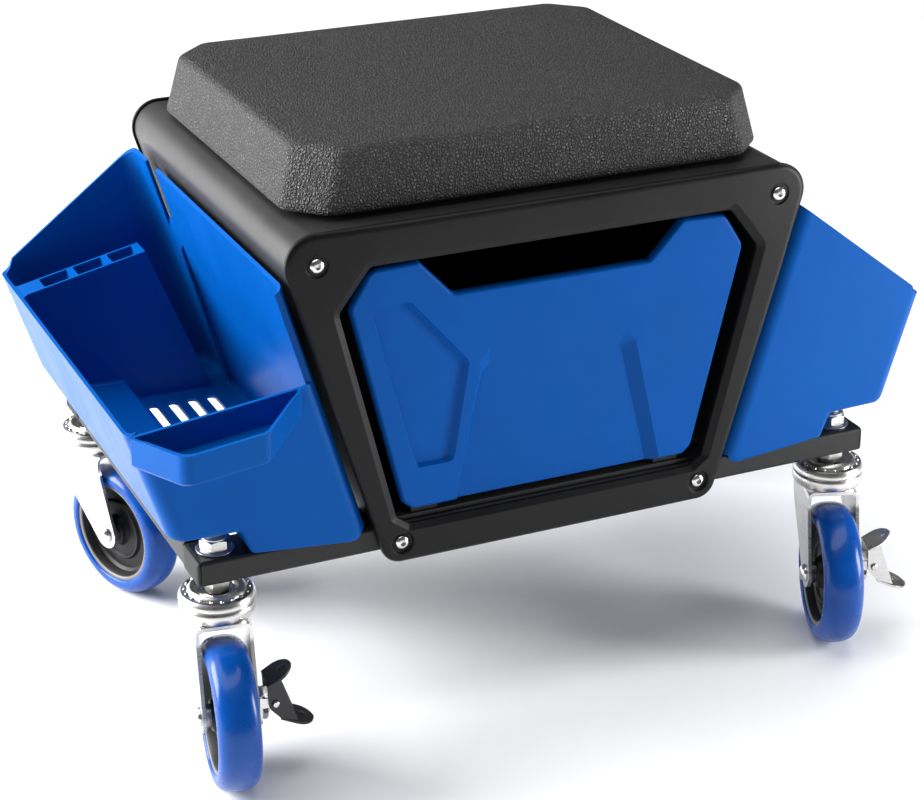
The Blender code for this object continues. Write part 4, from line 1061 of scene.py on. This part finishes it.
seat_cushion()
wrap()
bezel("end_frame_front", "front_bezel", 0.0)
bezel("end_frame_rear", "rear_bezel", math.pi)
screws()
rear_panel()
drawer_front()
drawer_box()
side_bins()
base_frame()
for caster in CASTERS:
    stems_and_nuts(caster)
    fork(caster)
    axle(caster)
    wheel(caster)
    if caster in BRAKED:
        brake(caster)
kept_nodes()


# -------- stage, light and camera


def floor():
    bm = bmesh.new()
    bmesh.ops.create_grid(bm, x_segments=24, y_segments=24, size=9.0)
    mesh = mesh_of(bm, "floor")
    obj = linked("studio_floor", mesh)
    paint = Paint("floor_pale")
    cloud = paint.noise(1.6, 4.0)
    shade = paint.ramp(cloud, (0.3, (0.88, 0.88, 0.885)), (0.7, (0.92, 0.92, 0.922)))
    gloss = paint.ranged(paint.noise(30.0), 0.3, 0.7, 0.55, 0.65)
    mesh.materials.append(paint.give(Base_Color=shade, Roughness=gloss))


def aimed(name, data, place, aim):
    obj = linked(name, data)
    obj.location = place
    obj.rotation_mode = "QUATERNION"
    obj.rotation_quaternion = (Vector(aim) - obj.location).to_track_quat("-Z", "Y")
    return obj


def area_light(name, place, aim, size, power):
    light = bpy.data.lights.new(name, "AREA")
    light.shape = "RECTANGLE"
    light.size, light.size_y = size
    light.energy = power
    aimed(name, light, place, aim).visible_camera = False


def lights():
    world = bpy.data.worlds.new("studio")
    bpy.context.scene.world = world
    world.use_nodes = True
    dome = world.node_tree.nodes["Background"].inputs
    dome["Color"].default_value = (1.0, 1.0, 1.0, 1.0)
    dome["Strength"].default_value = 0.10
    sky = bpy.data.lights.new("overhead", "SUN")
    sky.energy = 2.9
    sky.angle = math.radians(70.0)
    linked("overhead", sky).rotation_euler = (math.radians(-12.0), math.radians(-8.0), 0.0)
    aim = (0.0, 0.0, 0.2)
    area_light("left_box", (-1.75, 0.75, 0.85), aim, (1.3, 1.1), 92.0)
    area_light("back_box", (-0.75, 1.75, 0.42), aim, (1.1, 0.75), 3.5)
    area_light("right_box", (0.85, -0.60, 0.30), (0.15, -0.15, 0.25), (0.28, 0.42), 8.5)


def camera():
    made = bpy.data.cameras.new("photo_camera")
    made.sensor_width = 36.0
    made.lens = 90.37
    made.shift_x, made.shift_y = -0.0076, -0.0855
    made.clip_start, made.clip_end = 0.05, 60.0
    obj = aimed("photo_camera", made, (-0.6256, -1.3916, 0.8378), (0.0110, 0.0, 0.2172))
    bpy.context.scene.camera = obj


floor()
lights()
camera()
bpy.context.scene.view_settings.view_transform = "Standard"
